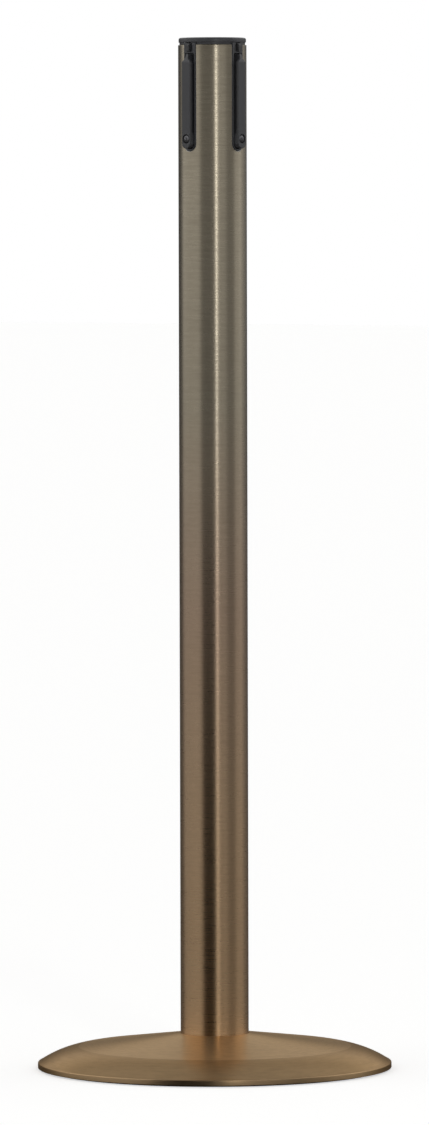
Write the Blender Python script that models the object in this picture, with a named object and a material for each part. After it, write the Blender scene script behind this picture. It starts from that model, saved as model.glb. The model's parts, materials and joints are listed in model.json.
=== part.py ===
"""Belt barrier post: a satin bronze tube on a weighted round base, with four belt receivers at the top.

Metres, +Z up. The origin is on the floor under the middle of the base. The four receivers face
along -Y (front), +X (right), +Y (back) and -X (left).
"""

import math

import bmesh
import bpy
from mathutils import Matrix, Vector

MM = 0.001

# ---- Driving dimensions -------------------------------------------------------------------------
POST_HEIGHT = 960 * MM
TUBE_RADIUS = 31.75 * MM
TUBE_WALL = 1.6 * MM
BASE_RADIUS = 165 * MM

# Clearance between pieces that touch.
GAP = 0.3 * MM
# How far a joined shape runs into its neighbour, and a cutter past the face that it cuts.
OVERRUN = 1.0 * MM

TUBE_SIDES = 48
BASE_SIDES = 72
WASHER_SIDES = 32
ROD_SIDES = 24
SCREW_SIDES = 20
HEX_SIDES = 6
ROUND_STEPS = 10
CAP_EDGE_STEPS = 4
CROWN_STEPS = 3

# Spun base cover: nearly flat top, a crease, then a slightly crowned slope down to a short rim.
COVER_WALL = 1.2 * MM
COVER_NECK_HEIGHT = 33.6 * MM
COVER_CREASE_WIDTH = 38 * MM
COVER_CREASE_HEIGHT = 21.2 * MM
COVER_CROWN = 2.1 * MM
COVER_RIM_HEIGHT = 5.8 * MM
COVER_RIM_ROUND = 1.0 * MM
COVER_FLOOR_GAP = 1.5 * MM

# Cast iron weight under the cover.
WEIGHT_FLOOR_GAP = 3.0 * MM
WEIGHT_COVER_GAP = 0.4 * MM
WEIGHT_WEB = 7.0 * MM
SOCKET_ROOM = 6.0 * MM

# Rubber floor ring, pressed into a groove in the weight.
RING_INSET = 7.0 * MM
RING_WIDTH = 10.0 * MM
RING_HEIGHT = 5.0 * MM

# Base bolt with its two washers, and the threaded plug that closes the foot of the tube.
BOLT_RADIUS = 6.0 * MM
BOLT_ACROSS_FLATS = 18.0 * MM
BOLT_HEAD_HEIGHT = 7.5 * MM
BOLT_HEAD_SINK = 0.3 * MM
BOLT_END_CHAMFER = 1.0 * MM
WASHER_RADIUS = 12.0 * MM
WASHER_THICKNESS = 2.5 * MM
SPRING_WASHER_RADIUS = 10.5 * MM
SPRING_WASHER_THICKNESS = 2.8 * MM
SPRING_WASHER_SLIT = 1.2 * MM
PLUG_HEIGHT = 16.0 * MM
BOLT_END_GAP = 2.0 * MM

# Top cap.
CAP_STEP_IN = 0.45 * MM
CAP_HEIGHT = 6.5 * MM
CAP_EDGE_ROUND = 1.8 * MM
CAP_REVEAL_HEIGHT = 2.2 * MM
CAP_REVEAL_DEPTH = 0.8 * MM
CAP_SPIGOT_RADIUS = 7.7 * MM
CAP_SPIGOT_LENGTH = 12.0 * MM
CAP_SPIGOT_WALL = 2.2 * MM

# Belt receiver: a flat frame in a slot of the tube, with a T-shaped rail standing out of it.
RECEIVER_HALF_WIDTH = 6.9 * MM
SLOT_GAP = 0.4 * MM
RECEIVER_LENGTH = 100.3 * MM
RECEIVER_HEAD_RISE = 2.1 * MM
RECEIVER_DEPTH = 7.45 * MM
FLANGE_LIP = 2.0 * MM
CHANNEL_RIM = 1.6 * MM
CHANNEL_DEPTH = 4.25 * MM
RAIL_SIDE_GAP = 0.3 * MM
RAIL_PROUD = 5.25 * MM
RAIL_HEAD_THICKNESS = 2.8 * MM
RAIL_NECK_HALF_WIDTH = 3.0 * MM
RAIL_END_GAP = 0.6 * MM
RAIL_TIP_LENGTH = 7.6 * MM
RAIL_TIP_HALF_WIDTH = 1.1 * MM
RAIL_SHOULDER_HEIGHT = 3.4 * MM
RAIL_SHOULDER_HALF_WIDTH = 1.7 * MM
RAIL_TIP_DROP = 2.2 * MM
CROSSBAR_HEIGHT = 1.4 * MM
BOSS_LENGTH = 14.0 * MM
BOSS_INSET = 0.2 * MM

# Screw that holds a receiver to the core.
SCREW_HEIGHT_ON_RAIL = 8.8 * MM
SCREW_HEAD_RADIUS = 3.6 * MM
SCREW_HEAD_HEIGHT = 2.2 * MM
SCREW_HEAD_RECESS = 0.3 * MM
SCREW_RADIUS = 2.0 * MM
SCREW_LENGTH = 18.0 * MM
SCREW_SINK_CLEARANCE = 0.6 * MM
CROSS_ARM = 2.1 * MM
CROSS_WIDTH = 0.9 * MM
CROSS_DEPTH = 1.3 * MM
SCREW_HEAD_EDGE = 0.7 * MM

# Spring latch that keeps a belt end from lifting off the rail.
LATCH_HALF_WIDTH = 1.45 * MM
LATCH_HEIGHT = 7.2 * MM
LATCH_PROUD = 2.8 * MM
LATCH_TRAVEL = 2.6 * MM
LATCH_GUIDE_GAP = 0.3 * MM
LATCH_WINDOW_GAP = 1.3 * MM
LATCH_WINDOW_DEPTH = 2.25 * MM
LATCH_TOP_SLOPE = 1.6 * MM
LATCH_FLANGE_LIP = 1.75 * MM
LATCH_FLANGE_THICKNESS = 1.6 * MM
LATCH_TOP_BELOW_HEAD = 0.9 * MM

SPRING_RADIUS = 1.8 * MM
SPRING_WIRE_RADIUS = 0.25 * MM
SPRING_TURNS = 5
SPRING_STEPS = 8
SPRING_WIRE_SIDES = 5
SPRING_POCKET_DEPTH = 12.0 * MM

# Moulded core inside the head of the tube.
CORE_BELOW_RECEIVER = 9.0 * MM

# ---- Derived places -----------------------------------------------------------------------------
TUBE_BORE = TUBE_RADIUS - TUBE_WALL
CAP_UNDERSIDE = POST_HEIGHT - CAP_HEIGHT
CAP_RADIUS = TUBE_RADIUS - CAP_STEP_IN
TUBE_TOP = CAP_UNDERSIDE - GAP
RING_OUTER_RADIUS = BASE_RADIUS - RING_INSET

FASTENING_HEIGHT = BOLT_HEAD_HEIGHT + SPRING_WASHER_THICKNESS + WASHER_THICKNESS + 3 * GAP
BOLT_RECESS_RADIUS = WASHER_RADIUS + SOCKET_ROOM
BOLT_RECESS_TOP = WEIGHT_FLOOR_GAP + BOLT_HEAD_SINK + FASTENING_HEIGHT
TUBE_SEAT_HEIGHT = BOLT_RECESS_TOP + WEIGHT_WEB
TUBE_BOTTOM = TUBE_SEAT_HEIGHT + GAP
SLOT_HALF_WIDTH = RECEIVER_HALF_WIDTH + SLOT_GAP

RECEIVER_TOP = TUBE_TOP + RECEIVER_HEAD_RISE
RECEIVER_BOTTOM = RECEIVER_TOP - RECEIVER_LENGTH
RECEIVER_ARC_CENTRE = RECEIVER_BOTTOM + RECEIVER_HALF_WIDTH
FRAME_FACE = TUBE_RADIUS
RECEIVER_BACK = FRAME_FACE - RECEIVER_DEPTH
FLANGE_HALF_WIDTH = RECEIVER_HALF_WIDTH + FLANGE_LIP
FLANGE_BACK = RECEIVER_BACK - GAP
FLANGE_BOTTOM = RECEIVER_ARC_CENTRE - FLANGE_HALF_WIDTH
FLANGE_FRONT = math.sqrt(TUBE_BORE ** 2 - FLANGE_HALF_WIDTH ** 2) - GAP

LATCH_TOP = RECEIVER_TOP - LATCH_TOP_BELOW_HEAD
LATCH_BOTTOM = LATCH_TOP - LATCH_HEIGHT
WINDOW_BOTTOM = LATCH_BOTTOM - LATCH_GUIDE_GAP
CHANNEL_TOP = WINDOW_BOTTOM - CROSSBAR_HEIGHT
CHANNEL_HALF_WIDTH = RECEIVER_HALF_WIDTH - CHANNEL_RIM
CHANNEL_FLOOR = FRAME_FACE - CHANNEL_DEPTH
CHANNEL_BOTTOM = RECEIVER_BOTTOM + CHANNEL_RIM
RAIL_HALF_WIDTH = CHANNEL_HALF_WIDTH - RAIL_SIDE_GAP
RAIL_BOTTOM = CHANNEL_BOTTOM + RAIL_END_GAP
RAIL_TOP = CHANNEL_TOP - RAIL_END_GAP
RAIL_FACE = FRAME_FACE + RAIL_PROUD
RAIL_UNDERSIDE = RAIL_FACE - RAIL_HEAD_THICKNESS
SCREW_HEIGHT = RAIL_BOTTOM + SCREW_HEIGHT_ON_RAIL
SCREW_HEAD_FACE = RAIL_FACE - SCREW_HEAD_RECESS
SCREW_HEAD_SEAT = SCREW_HEAD_FACE - SCREW_HEAD_HEIGHT

CORE_TOP = CAP_UNDERSIDE - GAP
CORE_BOTTOM = FLANGE_BOTTOM - CORE_BELOW_RECEIVER
CORE_BORE_RADIUS = CAP_SPIGOT_RADIUS + GAP
CORE_SEAT = FLANGE_BACK - GAP
SPRING_SEAT = FLANGE_BACK - SPRING_POCKET_DEPTH
LATCH_WINDOW_FLOOR = FRAME_FACE - LATCH_WINDOW_DEPTH
LATCH_FLANGE_HALF_WIDTH = LATCH_HALF_WIDTH + LATCH_FLANGE_LIP
LATCH_FLANGE_FRONT = RECEIVER_BACK - GAP
LATCH_FLANGE_BACK = LATCH_FLANGE_FRONT - LATCH_FLANGE_THICKNESS
POCKET_HALF_WIDTH = LATCH_FLANGE_HALF_WIDTH + LATCH_GUIDE_GAP
LATCH_STEM_TOP = CORE_TOP - GAP
LATCH_MIDDLE = (LATCH_STEM_TOP + LATCH_BOTTOM) / 2
LATCH_TAB_BACK = CORE_SEAT + LATCH_TRAVEL + GAP

SIDES = {"front": -90, "right": 0, "back": 90, "left": 180}


# ---- Helpers ------------------------------------------------------------------------------------
def material(name, colour, roughness, metallic):
    """A Principled BSDF material with one colour."""
    made = bpy.data.materials.new(name)
    made.use_nodes = True
    shader = made.node_tree.nodes["Principled BSDF"]
    shader.inputs["Base Color"].default_value = (*colour, 1.0)
    shader.inputs["Roughness"].default_value = roughness
    shader.inputs["Metallic"].default_value = metallic
    return made


def satin_bronze():
    return material("satin_bronze", (0.22, 0.18, 0.13), 0.35, 1.0)


def black_moulding():
    return material("black_moulding", (0.055, 0.055, 0.058), 0.5, 0.0)


def zinc_steel():
    return material("zinc_steel", (0.45, 0.45, 0.44), 0.4, 1.0)


def black_steel():
    return material("black_steel", (0.05, 0.05, 0.05), 0.4, 1.0)


def cast_iron():
    return material("cast_iron", (0.06, 0.06, 0.06), 0.8, 0.6)


def black_rubber():
    return material("black_rubber", (0.03, 0.03, 0.03), 0.85, 0.0)


def finish_mesh(bm, name):
    """Turn a bmesh into a mesh with outward faces and smooth round sides."""
    bmesh.ops.recalc_face_normals(bm, faces=bm.faces)
    mesh = bpy.data.meshes.new(name)
    bm.to_mesh(mesh)
    bm.free()
    mesh.shade_smooth()
    mesh.set_sharp_from_angle(angle=math.radians(30))
    return mesh


def place(name, mesh, finish):
    """Put a mesh in the scene as one named sub-part."""
    obj = bpy.data.objects.new(name, mesh)
    bpy.context.scene.collection.objects.link(obj)
    obj.data.materials.clear()
    obj.data.materials.append(finish)
    return obj


def arc(centre, radius, start, end, steps):
    """Points on an arc in a plane, from one angle to another in degrees."""
    points = []
    for step in range(steps + 1):
        angle = math.radians(start + (end - start) * step / steps)
        points.append((centre[0] + radius * math.cos(angle), centre[1] + radius * math.sin(angle)))
    return points


def turned(outline, sides, name="turned"):
    """Spin a closed outline of (radius, height) points round the Z axis."""
    bm = bmesh.new()
    rings = []
    for radius, height in outline:
        if radius == 0:
            rings.append([bm.verts.new((0, 0, height))] * sides)
            continue
        ring = []
        for side in range(sides):
            angle = 2 * math.pi * side / sides
            ring.append(bm.verts.new((radius * math.cos(angle), radius * math.sin(angle), height)))
        rings.append(ring)
    for index, ring in enumerate(rings):
        after = rings[(index + 1) % len(rings)]
        for side in range(sides):
            corner = (side + 1) % sides
            loop = [ring[side], ring[corner], after[corner], after[side]]
            corners = list(dict.fromkeys(loop))
            if len(corners) > 2:
                bm.faces.new(corners)
    return finish_mesh(bm, name)


def slab(outline, low, high, name="slab"):
    """Extrude an outline of (sideways, height) points along +X, from low to high."""
    bm = bmesh.new()
    face = bm.faces.new([bm.verts.new((low, side, height)) for side, height in outline])
    grown = bmesh.ops.extrude_face_region(bm, geom=[face])
    verts = [item for item in grown["geom"] if isinstance(item, bmesh.types.BMVert)]
    bmesh.ops.translate(bm, verts=verts, vec=(high - low, 0, 0))
    return finish_mesh(bm, name)


def block(low, high, name="block"):
    """A box between two corners."""
    outline = [(low[1], low[2]), (high[1], low[2]), (high[1], high[2]), (low[1], high[2])]
    return slab(outline, low[0], high[0], name)


def rod(radius, low, high, height):
    """A round bar along +X at a height."""
    last = 360 - 360 / ROD_SIDES
    return slab(arc((0, height), radius, 0, last, ROD_SIDES - 1), low, high, "rod")


def tongue(half_width, bottom_centre, top):
    """A U outline: round at the bottom, square at the top."""
    points = arc((0, bottom_centre), half_width, 180, 360, ROUND_STEPS)
    return points + [(half_width, top), (-half_width, top)]


def swung(mesh, degrees):
    """A copy of a mesh, turned about the Z axis."""
    copy = mesh.copy()
    copy.transform(Matrix.Rotation(math.radians(degrees), 4, "Z"))
    return copy


def shaped(mesh, steps):
    """Join or cut a mesh with others. Each step is (operation, mesh)."""
    body = bpy.data.objects.new("body", mesh)
    bpy.context.scene.collection.objects.link(body)
    tools = []
    for operation, tool_mesh in steps:
        tool = bpy.data.objects.new("tool", tool_mesh)
        bpy.context.scene.collection.objects.link(tool)
        boolean = body.modifiers.new("shape", "BOOLEAN")
        boolean.operation = operation
        boolean.solver = "EXACT"
        boolean.object = tool
        tools.append(tool)
    bpy.context.view_layer.update()
    depsgraph = bpy.context.evaluated_depsgraph_get()
    result = bpy.data.meshes.new_from_object(body.evaluated_get(depsgraph))
    for made in tools + [body]:
        bpy.data.objects.remove(made)
    result.shade_smooth()
    result.set_sharp_from_angle(angle=math.radians(30))
    return result


def join(mesh):
    return ("UNION", mesh)


def cut(mesh):
    return ("DIFFERENCE", mesh)


# ---- Base ---------------------------------------------------------------------------------------
def cover_outline():
    """Outer face of the base cover, from its neck out and down to its lower edge."""
    crease = Vector((BASE_RADIUS - COVER_CREASE_WIDTH, COVER_CREASE_HEIGHT))
    shoulder = Vector((BASE_RADIUS - COVER_RIM_ROUND, COVER_RIM_HEIGHT + COVER_RIM_ROUND))
    points = [(TUBE_RADIUS + GAP, COVER_NECK_HEIGHT)]
    chord = shoulder - crease
    outward = Vector((-chord.y, chord.x)).normalized()
    for step in range(CROWN_STEPS + 1):
        share = step / CROWN_STEPS
        rise = COVER_CROWN * 4 * share * (1 - share)
        point = crease + chord * share + outward * rise
        points.append((point.x, point.y))
    points.append((BASE_RADIUS, COVER_RIM_HEIGHT))
    points.append((BASE_RADIUS, COVER_FLOOR_GAP))
    return points


def inside_cover(depth, neck_radius, lower_edge):
    """The cover's outer face moved inwards by a depth, trimmed at its neck and its lower edge."""
    outer = [Vector(point) for point in cover_outline()]
    lines = []
    for start, end in zip(outer, outer[1:]):
        along = (end - start).normalized()
        inward = Vector((along.y, -along.x))
        lines.append((start + inward * depth, along))
    points = []
    first, along = lines[0]
    points.append((neck_radius, first.y + along.y * (neck_radius - first.x) / along.x))
    for (start, along), (other, heading) in zip(lines, lines[1:]):
        away = other - start
        spread = along.x * heading.y - along.y * heading.x
        reach = (away.x * heading.y - away.y * heading.x) / spread
        point = start + along * reach
        points.append((point.x, point.y))
    points.append((lines[-1][0].x, lower_edge))
    return points


def make_base_cover():
    """Spun metal dish over the weight, with a hole for the tube."""
    outer = cover_outline()
    inner = inside_cover(COVER_WALL, TUBE_RADIUS + GAP, COVER_FLOOR_GAP)
    place("base_cover", turned(outer + inner[::-1], BASE_SIDES), satin_bronze())


def make_base_weight():
    """Cast iron disc that fills the cover, with a seat for the tube and a recess for the bolt head."""
    ring_out = RING_OUTER_RADIUS + GAP
    ring_in = RING_OUTER_RADIUS - RING_WIDTH - GAP
    seat_radius = TUBE_RADIUS + GAP
    bore = BOLT_RADIUS + GAP
    top = inside_cover(COVER_WALL + WEIGHT_COVER_GAP, seat_radius, WEIGHT_FLOOR_GAP)
    outline = [
        (bore, BOLT_RECESS_TOP),
        (BOLT_RECESS_RADIUS, BOLT_RECESS_TOP),
        (BOLT_RECESS_RADIUS, WEIGHT_FLOOR_GAP),
        (ring_in, WEIGHT_FLOOR_GAP),
        (ring_in, RING_HEIGHT + GAP),
        (ring_out, RING_HEIGHT + GAP),
        (ring_out, WEIGHT_FLOOR_GAP),
        *top[::-1],
        (seat_radius, TUBE_SEAT_HEIGHT),
        (bore, TUBE_SEAT_HEIGHT),
    ]
    place("base_weight", turned(outline, BASE_SIDES), cast_iron())


def make_floor_ring():
    """Rubber ring that the whole post stands on."""
    inner = RING_OUTER_RADIUS - RING_WIDTH
    outline = [(inner, 0), (RING_OUTER_RADIUS, 0), (RING_OUTER_RADIUS, RING_HEIGHT), (inner, RING_HEIGHT)]
    place("floor_ring", turned(outline, BASE_SIDES), black_rubber())


def make_base_fastening():
    """Washers and bolt that pull the tube's foot plug down on the weight."""
    bore = BOLT_RADIUS + GAP
    washer_top = BOLT_RECESS_TOP - GAP
    washer_bottom = washer_top - WASHER_THICKNESS
    flat = [
        (bore, washer_bottom),
        (WASHER_RADIUS, washer_bottom),
        (WASHER_RADIUS, washer_top),
        (bore, washer_top),
    ]
    place("flat_washer", turned(flat, WASHER_SIDES), zinc_steel())

    split_top = washer_bottom - GAP
    split_bottom = split_top - SPRING_WASHER_THICKNESS
    split = [
        (bore, split_bottom),
        (SPRING_WASHER_RADIUS, split_bottom),
        (SPRING_WASHER_RADIUS, split_top),
        (bore, split_top),
    ]
    slit_low = (0, -SPRING_WASHER_SLIT / 2, split_bottom - GAP)
    slit_high = (WASHER_RADIUS, SPRING_WASHER_SLIT / 2, split_top + GAP)
    slit = cut(block(slit_low, slit_high))
    place("spring_washer", shaped(turned(split, WASHER_SIDES), [slit]), zinc_steel())

    head_top = split_bottom - GAP
    head_bottom = head_top - BOLT_HEAD_HEIGHT
    hex_radius = BOLT_ACROSS_FLATS / 2 / math.cos(math.pi / HEX_SIDES)
    head = [(0, head_bottom), (hex_radius, head_bottom), (hex_radius, head_top), (0, head_top)]
    bolt_end = TUBE_BOTTOM + PLUG_HEIGHT - BOLT_END_GAP
    root = head_top - BOLT_HEAD_HEIGHT / 2
    shank = [
        (0, root),
        (BOLT_RADIUS, root),
        (BOLT_RADIUS, bolt_end - BOLT_END_CHAMFER),
        (BOLT_RADIUS - BOLT_END_CHAMFER, bolt_end),
        (0, bolt_end),
    ]
    steps = [join(turned(shank, ROD_SIDES))]
    place("base_bolt", shaped(turned(head, HEX_SIDES), steps), zinc_steel())


def make_foot_plug():
    """Steel plug, welded in the foot of the tube and threaded for the base bolt."""
    bore = BOLT_RADIUS + GAP
    radius = TUBE_BORE - GAP
    top = TUBE_BOTTOM + PLUG_HEIGHT
    outline = [(bore, TUBE_BOTTOM), (radius, TUBE_BOTTOM), (radius, top), (bore, top)]
    place("foot_plug", turned(outline, TUBE_SIDES), zinc_steel())


# ---- Post ---------------------------------------------------------------------------------------
def make_post_tube():
    """Tube with four slots that run down from its top edge."""
    outline = [
        (TUBE_BORE, TUBE_BOTTOM),
        (TUBE_RADIUS, TUBE_BOTTOM),
        (TUBE_RADIUS, TUBE_TOP),
        (TUBE_BORE, TUBE_TOP),
    ]
    slot_outline = tongue(SLOT_HALF_WIDTH, RECEIVER_ARC_CENTRE, TUBE_TOP + OVERRUN)
    slot = slab(slot_outline, TUBE_BORE / 2, TUBE_RADIUS + OVERRUN)
    cuts = [cut(swung(slot, angle)) for angle in SIDES.values()]
    place("post_tube", shaped(turned(outline, TUBE_SIDES), cuts), satin_bronze())


def make_head_core():
    """Moulded core in the head of the tube: seats, screw holes and spring pockets for four receivers."""
    outline = [
        (CORE_BORE_RADIUS, CORE_BOTTOM),
        (TUBE_BORE - GAP, CORE_BOTTOM),
        (TUBE_BORE - GAP, CORE_TOP),
        (CORE_BORE_RADIUS, CORE_TOP),
    ]
    seat_half_width = FLANGE_HALF_WIDTH + GAP
    seat = block(
        (CORE_SEAT, -seat_half_width, FLANGE_BOTTOM - GAP),
        (TUBE_RADIUS, seat_half_width, CORE_TOP + OVERRUN),
    )
    pocket = block(
        (SPRING_SEAT, -POCKET_HALF_WIDTH, LATCH_BOTTOM - LATCH_GUIDE_GAP),
        (TUBE_RADIUS, POCKET_HALF_WIDTH, CORE_TOP + OVERRUN),
    )
    screw_end = SCREW_HEAD_SEAT - SCREW_LENGTH
    hole = rod(SCREW_RADIUS + GAP, screw_end - GAP, TUBE_RADIUS, SCREW_HEIGHT)
    cuts = []
    for angle in SIDES.values():
        for tool in (seat, pocket, hole):
            cuts.append(cut(swung(tool, angle)))
    place("head_core", shaped(turned(outline, TUBE_SIDES), cuts), black_moulding())


def make_top_cap():
    """Moulded disc with a rounded edge, a hollow spigot and a notch over each receiver's head."""
    edge_centre = (CAP_RADIUS - CAP_EDGE_ROUND, POST_HEIGHT - CAP_EDGE_ROUND)
    spigot_bottom = CAP_UNDERSIDE - CAP_SPIGOT_LENGTH
    spigot_bore = CAP_SPIGOT_RADIUS - CAP_SPIGOT_WALL
    outline = [
        (0, CAP_UNDERSIDE),
        (spigot_bore, CAP_UNDERSIDE),
        (spigot_bore, spigot_bottom),
        (CAP_SPIGOT_RADIUS, spigot_bottom),
        (CAP_SPIGOT_RADIUS, CAP_UNDERSIDE),
        (CAP_RADIUS - CAP_REVEAL_DEPTH, CAP_UNDERSIDE),
        (CAP_RADIUS - CAP_REVEAL_DEPTH, CAP_UNDERSIDE + CAP_REVEAL_HEIGHT),
        (CAP_RADIUS, CAP_UNDERSIDE + CAP_REVEAL_HEIGHT),
        *arc(edge_centre, CAP_EDGE_ROUND, 0, 90, CAP_EDGE_STEPS),
        (0, POST_HEIGHT),
    ]
    notch = block(
        (FLANGE_BACK - GAP, -SLOT_HALF_WIDTH, CAP_UNDERSIDE - OVERRUN),
        (CAP_RADIUS + OVERRUN, SLOT_HALF_WIDTH, RECEIVER_TOP + GAP),
    )
    cuts = [cut(swung(notch, angle)) for angle in SIDES.values()]
    place("top_cap", shaped(turned(outline, TUBE_SIDES), cuts), black_moulding())


# ---- Receivers ----------------------------------------------------------------------------------
def rail_outline():
    """Front of the rail: round at the bottom, and a pointed lead-in at the top."""
    shoulder = RAIL_TOP - RAIL_TIP_LENGTH
    points = arc((0, RAIL_BOTTOM + RAIL_HALF_WIDTH), RAIL_HALF_WIDTH, 180, 360, ROUND_STEPS)
    side = [
        (RAIL_HALF_WIDTH, shoulder),
        (RAIL_SHOULDER_HALF_WIDTH, shoulder + RAIL_SHOULDER_HEIGHT),
        (RAIL_TIP_HALF_WIDTH, RAIL_TOP),
    ]
    return points + side + [(-across, height) for across, height in side[::-1]]


def slope_cutter(face_depth, top, height, drop, half_width):
    """Wedge that slopes the top of a forward face back by a drop, over a height."""
    bm = bmesh.new()
    side = [(face_depth + GAP, top - height), (face_depth + GAP, top + GAP), (face_depth - drop, top + GAP)]
    face = bm.faces.new([bm.verts.new((depth, -half_width, level)) for depth, level in side])
    grown = bmesh.ops.extrude_face_region(bm, geom=[face])
    verts = [item for item in grown["geom"] if isinstance(item, bmesh.types.BMVert)]
    bmesh.ops.translate(bm, verts=verts, vec=(0, 2 * half_width, 0))
    return finish_mesh(bm, "slope_cutter")


def receiver_mesh():
    """One receiver, facing +X."""
    body = slab(tongue(RECEIVER_HALF_WIDTH, RECEIVER_ARC_CENTRE, RECEIVER_TOP), RECEIVER_BACK, FRAME_FACE)
    flange = slab(tongue(FLANGE_HALF_WIDTH, RECEIVER_ARC_CENTRE, CORE_TOP), FLANGE_BACK, FLANGE_FRONT)
    channel = slab(
        tongue(CHANNEL_HALF_WIDTH, CHANNEL_BOTTOM + CHANNEL_HALF_WIDTH, CHANNEL_TOP),
        CHANNEL_FLOOR,
        RAIL_FACE,
    )
    root = CHANNEL_FLOOR - OVERRUN
    neck = block(
        (root, -RAIL_NECK_HALF_WIDTH, SCREW_HEIGHT),
        (RAIL_UNDERSIDE + OVERRUN, RAIL_NECK_HALF_WIDTH, RAIL_TOP - RAIL_TIP_LENGTH),
    )
    tip_web = block(
        (root, -RAIL_TIP_HALF_WIDTH, RAIL_TOP - RAIL_TIP_LENGTH - OVERRUN),
        (RAIL_UNDERSIDE + OVERRUN, RAIL_TIP_HALF_WIDTH, RAIL_TOP),
    )
    boss = slab(
        tongue(RAIL_HALF_WIDTH - BOSS_INSET, RAIL_BOTTOM + RAIL_HALF_WIDTH, RAIL_BOTTOM + BOSS_LENGTH),
        root,
        RAIL_UNDERSIDE + OVERRUN,
    )
    head = slab(rail_outline(), RAIL_UNDERSIDE, RAIL_FACE)
    window_half = LATCH_HALF_WIDTH + LATCH_WINDOW_GAP
    window = block(
        (LATCH_WINDOW_FLOOR, -window_half, WINDOW_BOTTOM),
        (RAIL_FACE, window_half, RECEIVER_TOP + OVERRUN),
    )
    guide_half = LATCH_HALF_WIDTH + LATCH_GUIDE_GAP
    guide = block(
        (FLANGE_BACK - OVERRUN, -guide_half, WINDOW_BOTTOM),
        (LATCH_WINDOW_FLOOR + OVERRUN, guide_half, LATCH_TOP + LATCH_GUIDE_GAP),
    )
    flange_room = block(
        (FLANGE_BACK - OVERRUN, -POCKET_HALF_WIDTH, LATCH_BOTTOM - LATCH_GUIDE_GAP),
        (RECEIVER_BACK, POCKET_HALF_WIDTH, RECEIVER_TOP + OVERRUN),
    )
    lead_in = slope_cutter(RAIL_FACE, RAIL_TOP, RAIL_TIP_LENGTH, RAIL_TIP_DROP, 2 * RAIL_HALF_WIDTH)
    hole = rod(SCREW_RADIUS + GAP, FLANGE_BACK - OVERRUN, RAIL_FACE, SCREW_HEIGHT)
    sink_radius = SCREW_HEAD_RADIUS + SCREW_SINK_CLEARANCE
    sink = rod(sink_radius, SCREW_HEAD_SEAT - GAP, RAIL_FACE + OVERRUN, SCREW_HEIGHT)
    steps = [join(flange), cut(channel), join(neck), join(tip_web), join(boss), join(head), cut(lead_in)]
    steps += [cut(window), cut(guide), cut(flange_room), cut(hole), cut(sink)]
    return shaped(body, steps)


def latch_mesh():
    """One latch, facing +X: a tab with a sloped top and a flange behind the receiver."""
    front = FRAME_FACE + LATCH_PROUD
    tab = block((LATCH_TAB_BACK, -LATCH_HALF_WIDTH, LATCH_BOTTOM), (front, LATCH_HALF_WIDTH, LATCH_TOP))
    stem = block(
        (LATCH_FLANGE_BACK + GAP, -LATCH_HALF_WIDTH, LATCH_BOTTOM),
        (LATCH_TAB_BACK + OVERRUN, LATCH_HALF_WIDTH, LATCH_STEM_TOP),
    )
    flange = block(
        (LATCH_FLANGE_BACK, -LATCH_FLANGE_HALF_WIDTH, LATCH_BOTTOM),
        (LATCH_FLANGE_FRONT, LATCH_FLANGE_HALF_WIDTH, LATCH_STEM_TOP),
    )
    slope = slope_cutter(front, LATCH_TOP, LATCH_TOP_SLOPE, LATCH_TOP_SLOPE, 2 * LATCH_HALF_WIDTH)
    return shaped(tab, [join(stem), join(flange), cut(slope)])


def spring_mesh():
    """One return spring along +X, between the core and a latch's flange."""
    start = SPRING_SEAT + GAP + SPRING_WIRE_RADIUS
    end = LATCH_FLANGE_BACK - GAP - SPRING_WIRE_RADIUS
    steps = SPRING_TURNS * SPRING_STEPS
    coil_radius = SPRING_RADIUS - SPRING_WIRE_RADIUS
    bm = bmesh.new()
    rings = []
    for step in range(steps + 1):
        angle = 2 * math.pi * step / SPRING_STEPS
        outward = Vector((0, math.cos(angle), math.sin(angle)))
        centre = Vector((start + (end - start) * step / steps, 0, LATCH_MIDDLE)) + outward * coil_radius
        ring = []
        for side in range(SPRING_WIRE_SIDES):
            turn = 2 * math.pi * side / SPRING_WIRE_SIDES
            offset = outward * math.cos(turn) + Vector((1, 0, 0)) * math.sin(turn)
            ring.append(bm.verts.new(centre + offset * SPRING_WIRE_RADIUS))
        rings.append(ring)
    for ring, after in zip(rings, rings[1:]):
        for side in range(SPRING_WIRE_SIDES):
            corner = (side + 1) % SPRING_WIRE_SIDES
            bm.faces.new((ring[side], ring[corner], after[corner], after[side]))
    bm.faces.new(rings[0])
    bm.faces.new(rings[-1])
    return finish_mesh(bm, "latch_spring")


def screw_mesh():
    """One cross-recess pan head screw, pointing inwards along X."""
    length_end = SCREW_HEAD_SEAT - SCREW_LENGTH
    outline = [
        (0, length_end),
        (SCREW_RADIUS / 2, length_end),
        (SCREW_RADIUS, length_end + 2 * SCREW_RADIUS),
        (SCREW_RADIUS, SCREW_HEAD_SEAT),
        (SCREW_HEAD_RADIUS, SCREW_HEAD_SEAT),
        (SCREW_HEAD_RADIUS, SCREW_HEAD_FACE - SCREW_HEAD_EDGE),
        (SCREW_HEAD_RADIUS - SCREW_HEAD_EDGE, SCREW_HEAD_FACE),
        (0, SCREW_HEAD_FACE),
    ]
    mesh = turned(outline, SCREW_SIDES)
    mesh.transform(Matrix.Rotation(math.radians(90), 4, "Y"))
    mesh.transform(Matrix.Translation((0, 0, SCREW_HEIGHT)))
    low = SCREW_HEAD_FACE - CROSS_DEPTH
    high = SCREW_HEAD_FACE + GAP
    half = CROSS_WIDTH / 2
    across = block((low, -CROSS_ARM, SCREW_HEIGHT - half), (high, CROSS_ARM, SCREW_HEIGHT + half))
    upright = block((low, -half, SCREW_HEIGHT - CROSS_ARM), (high, half, SCREW_HEIGHT + CROSS_ARM))
    return shaped(mesh, [cut(across), cut(upright)])


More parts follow.
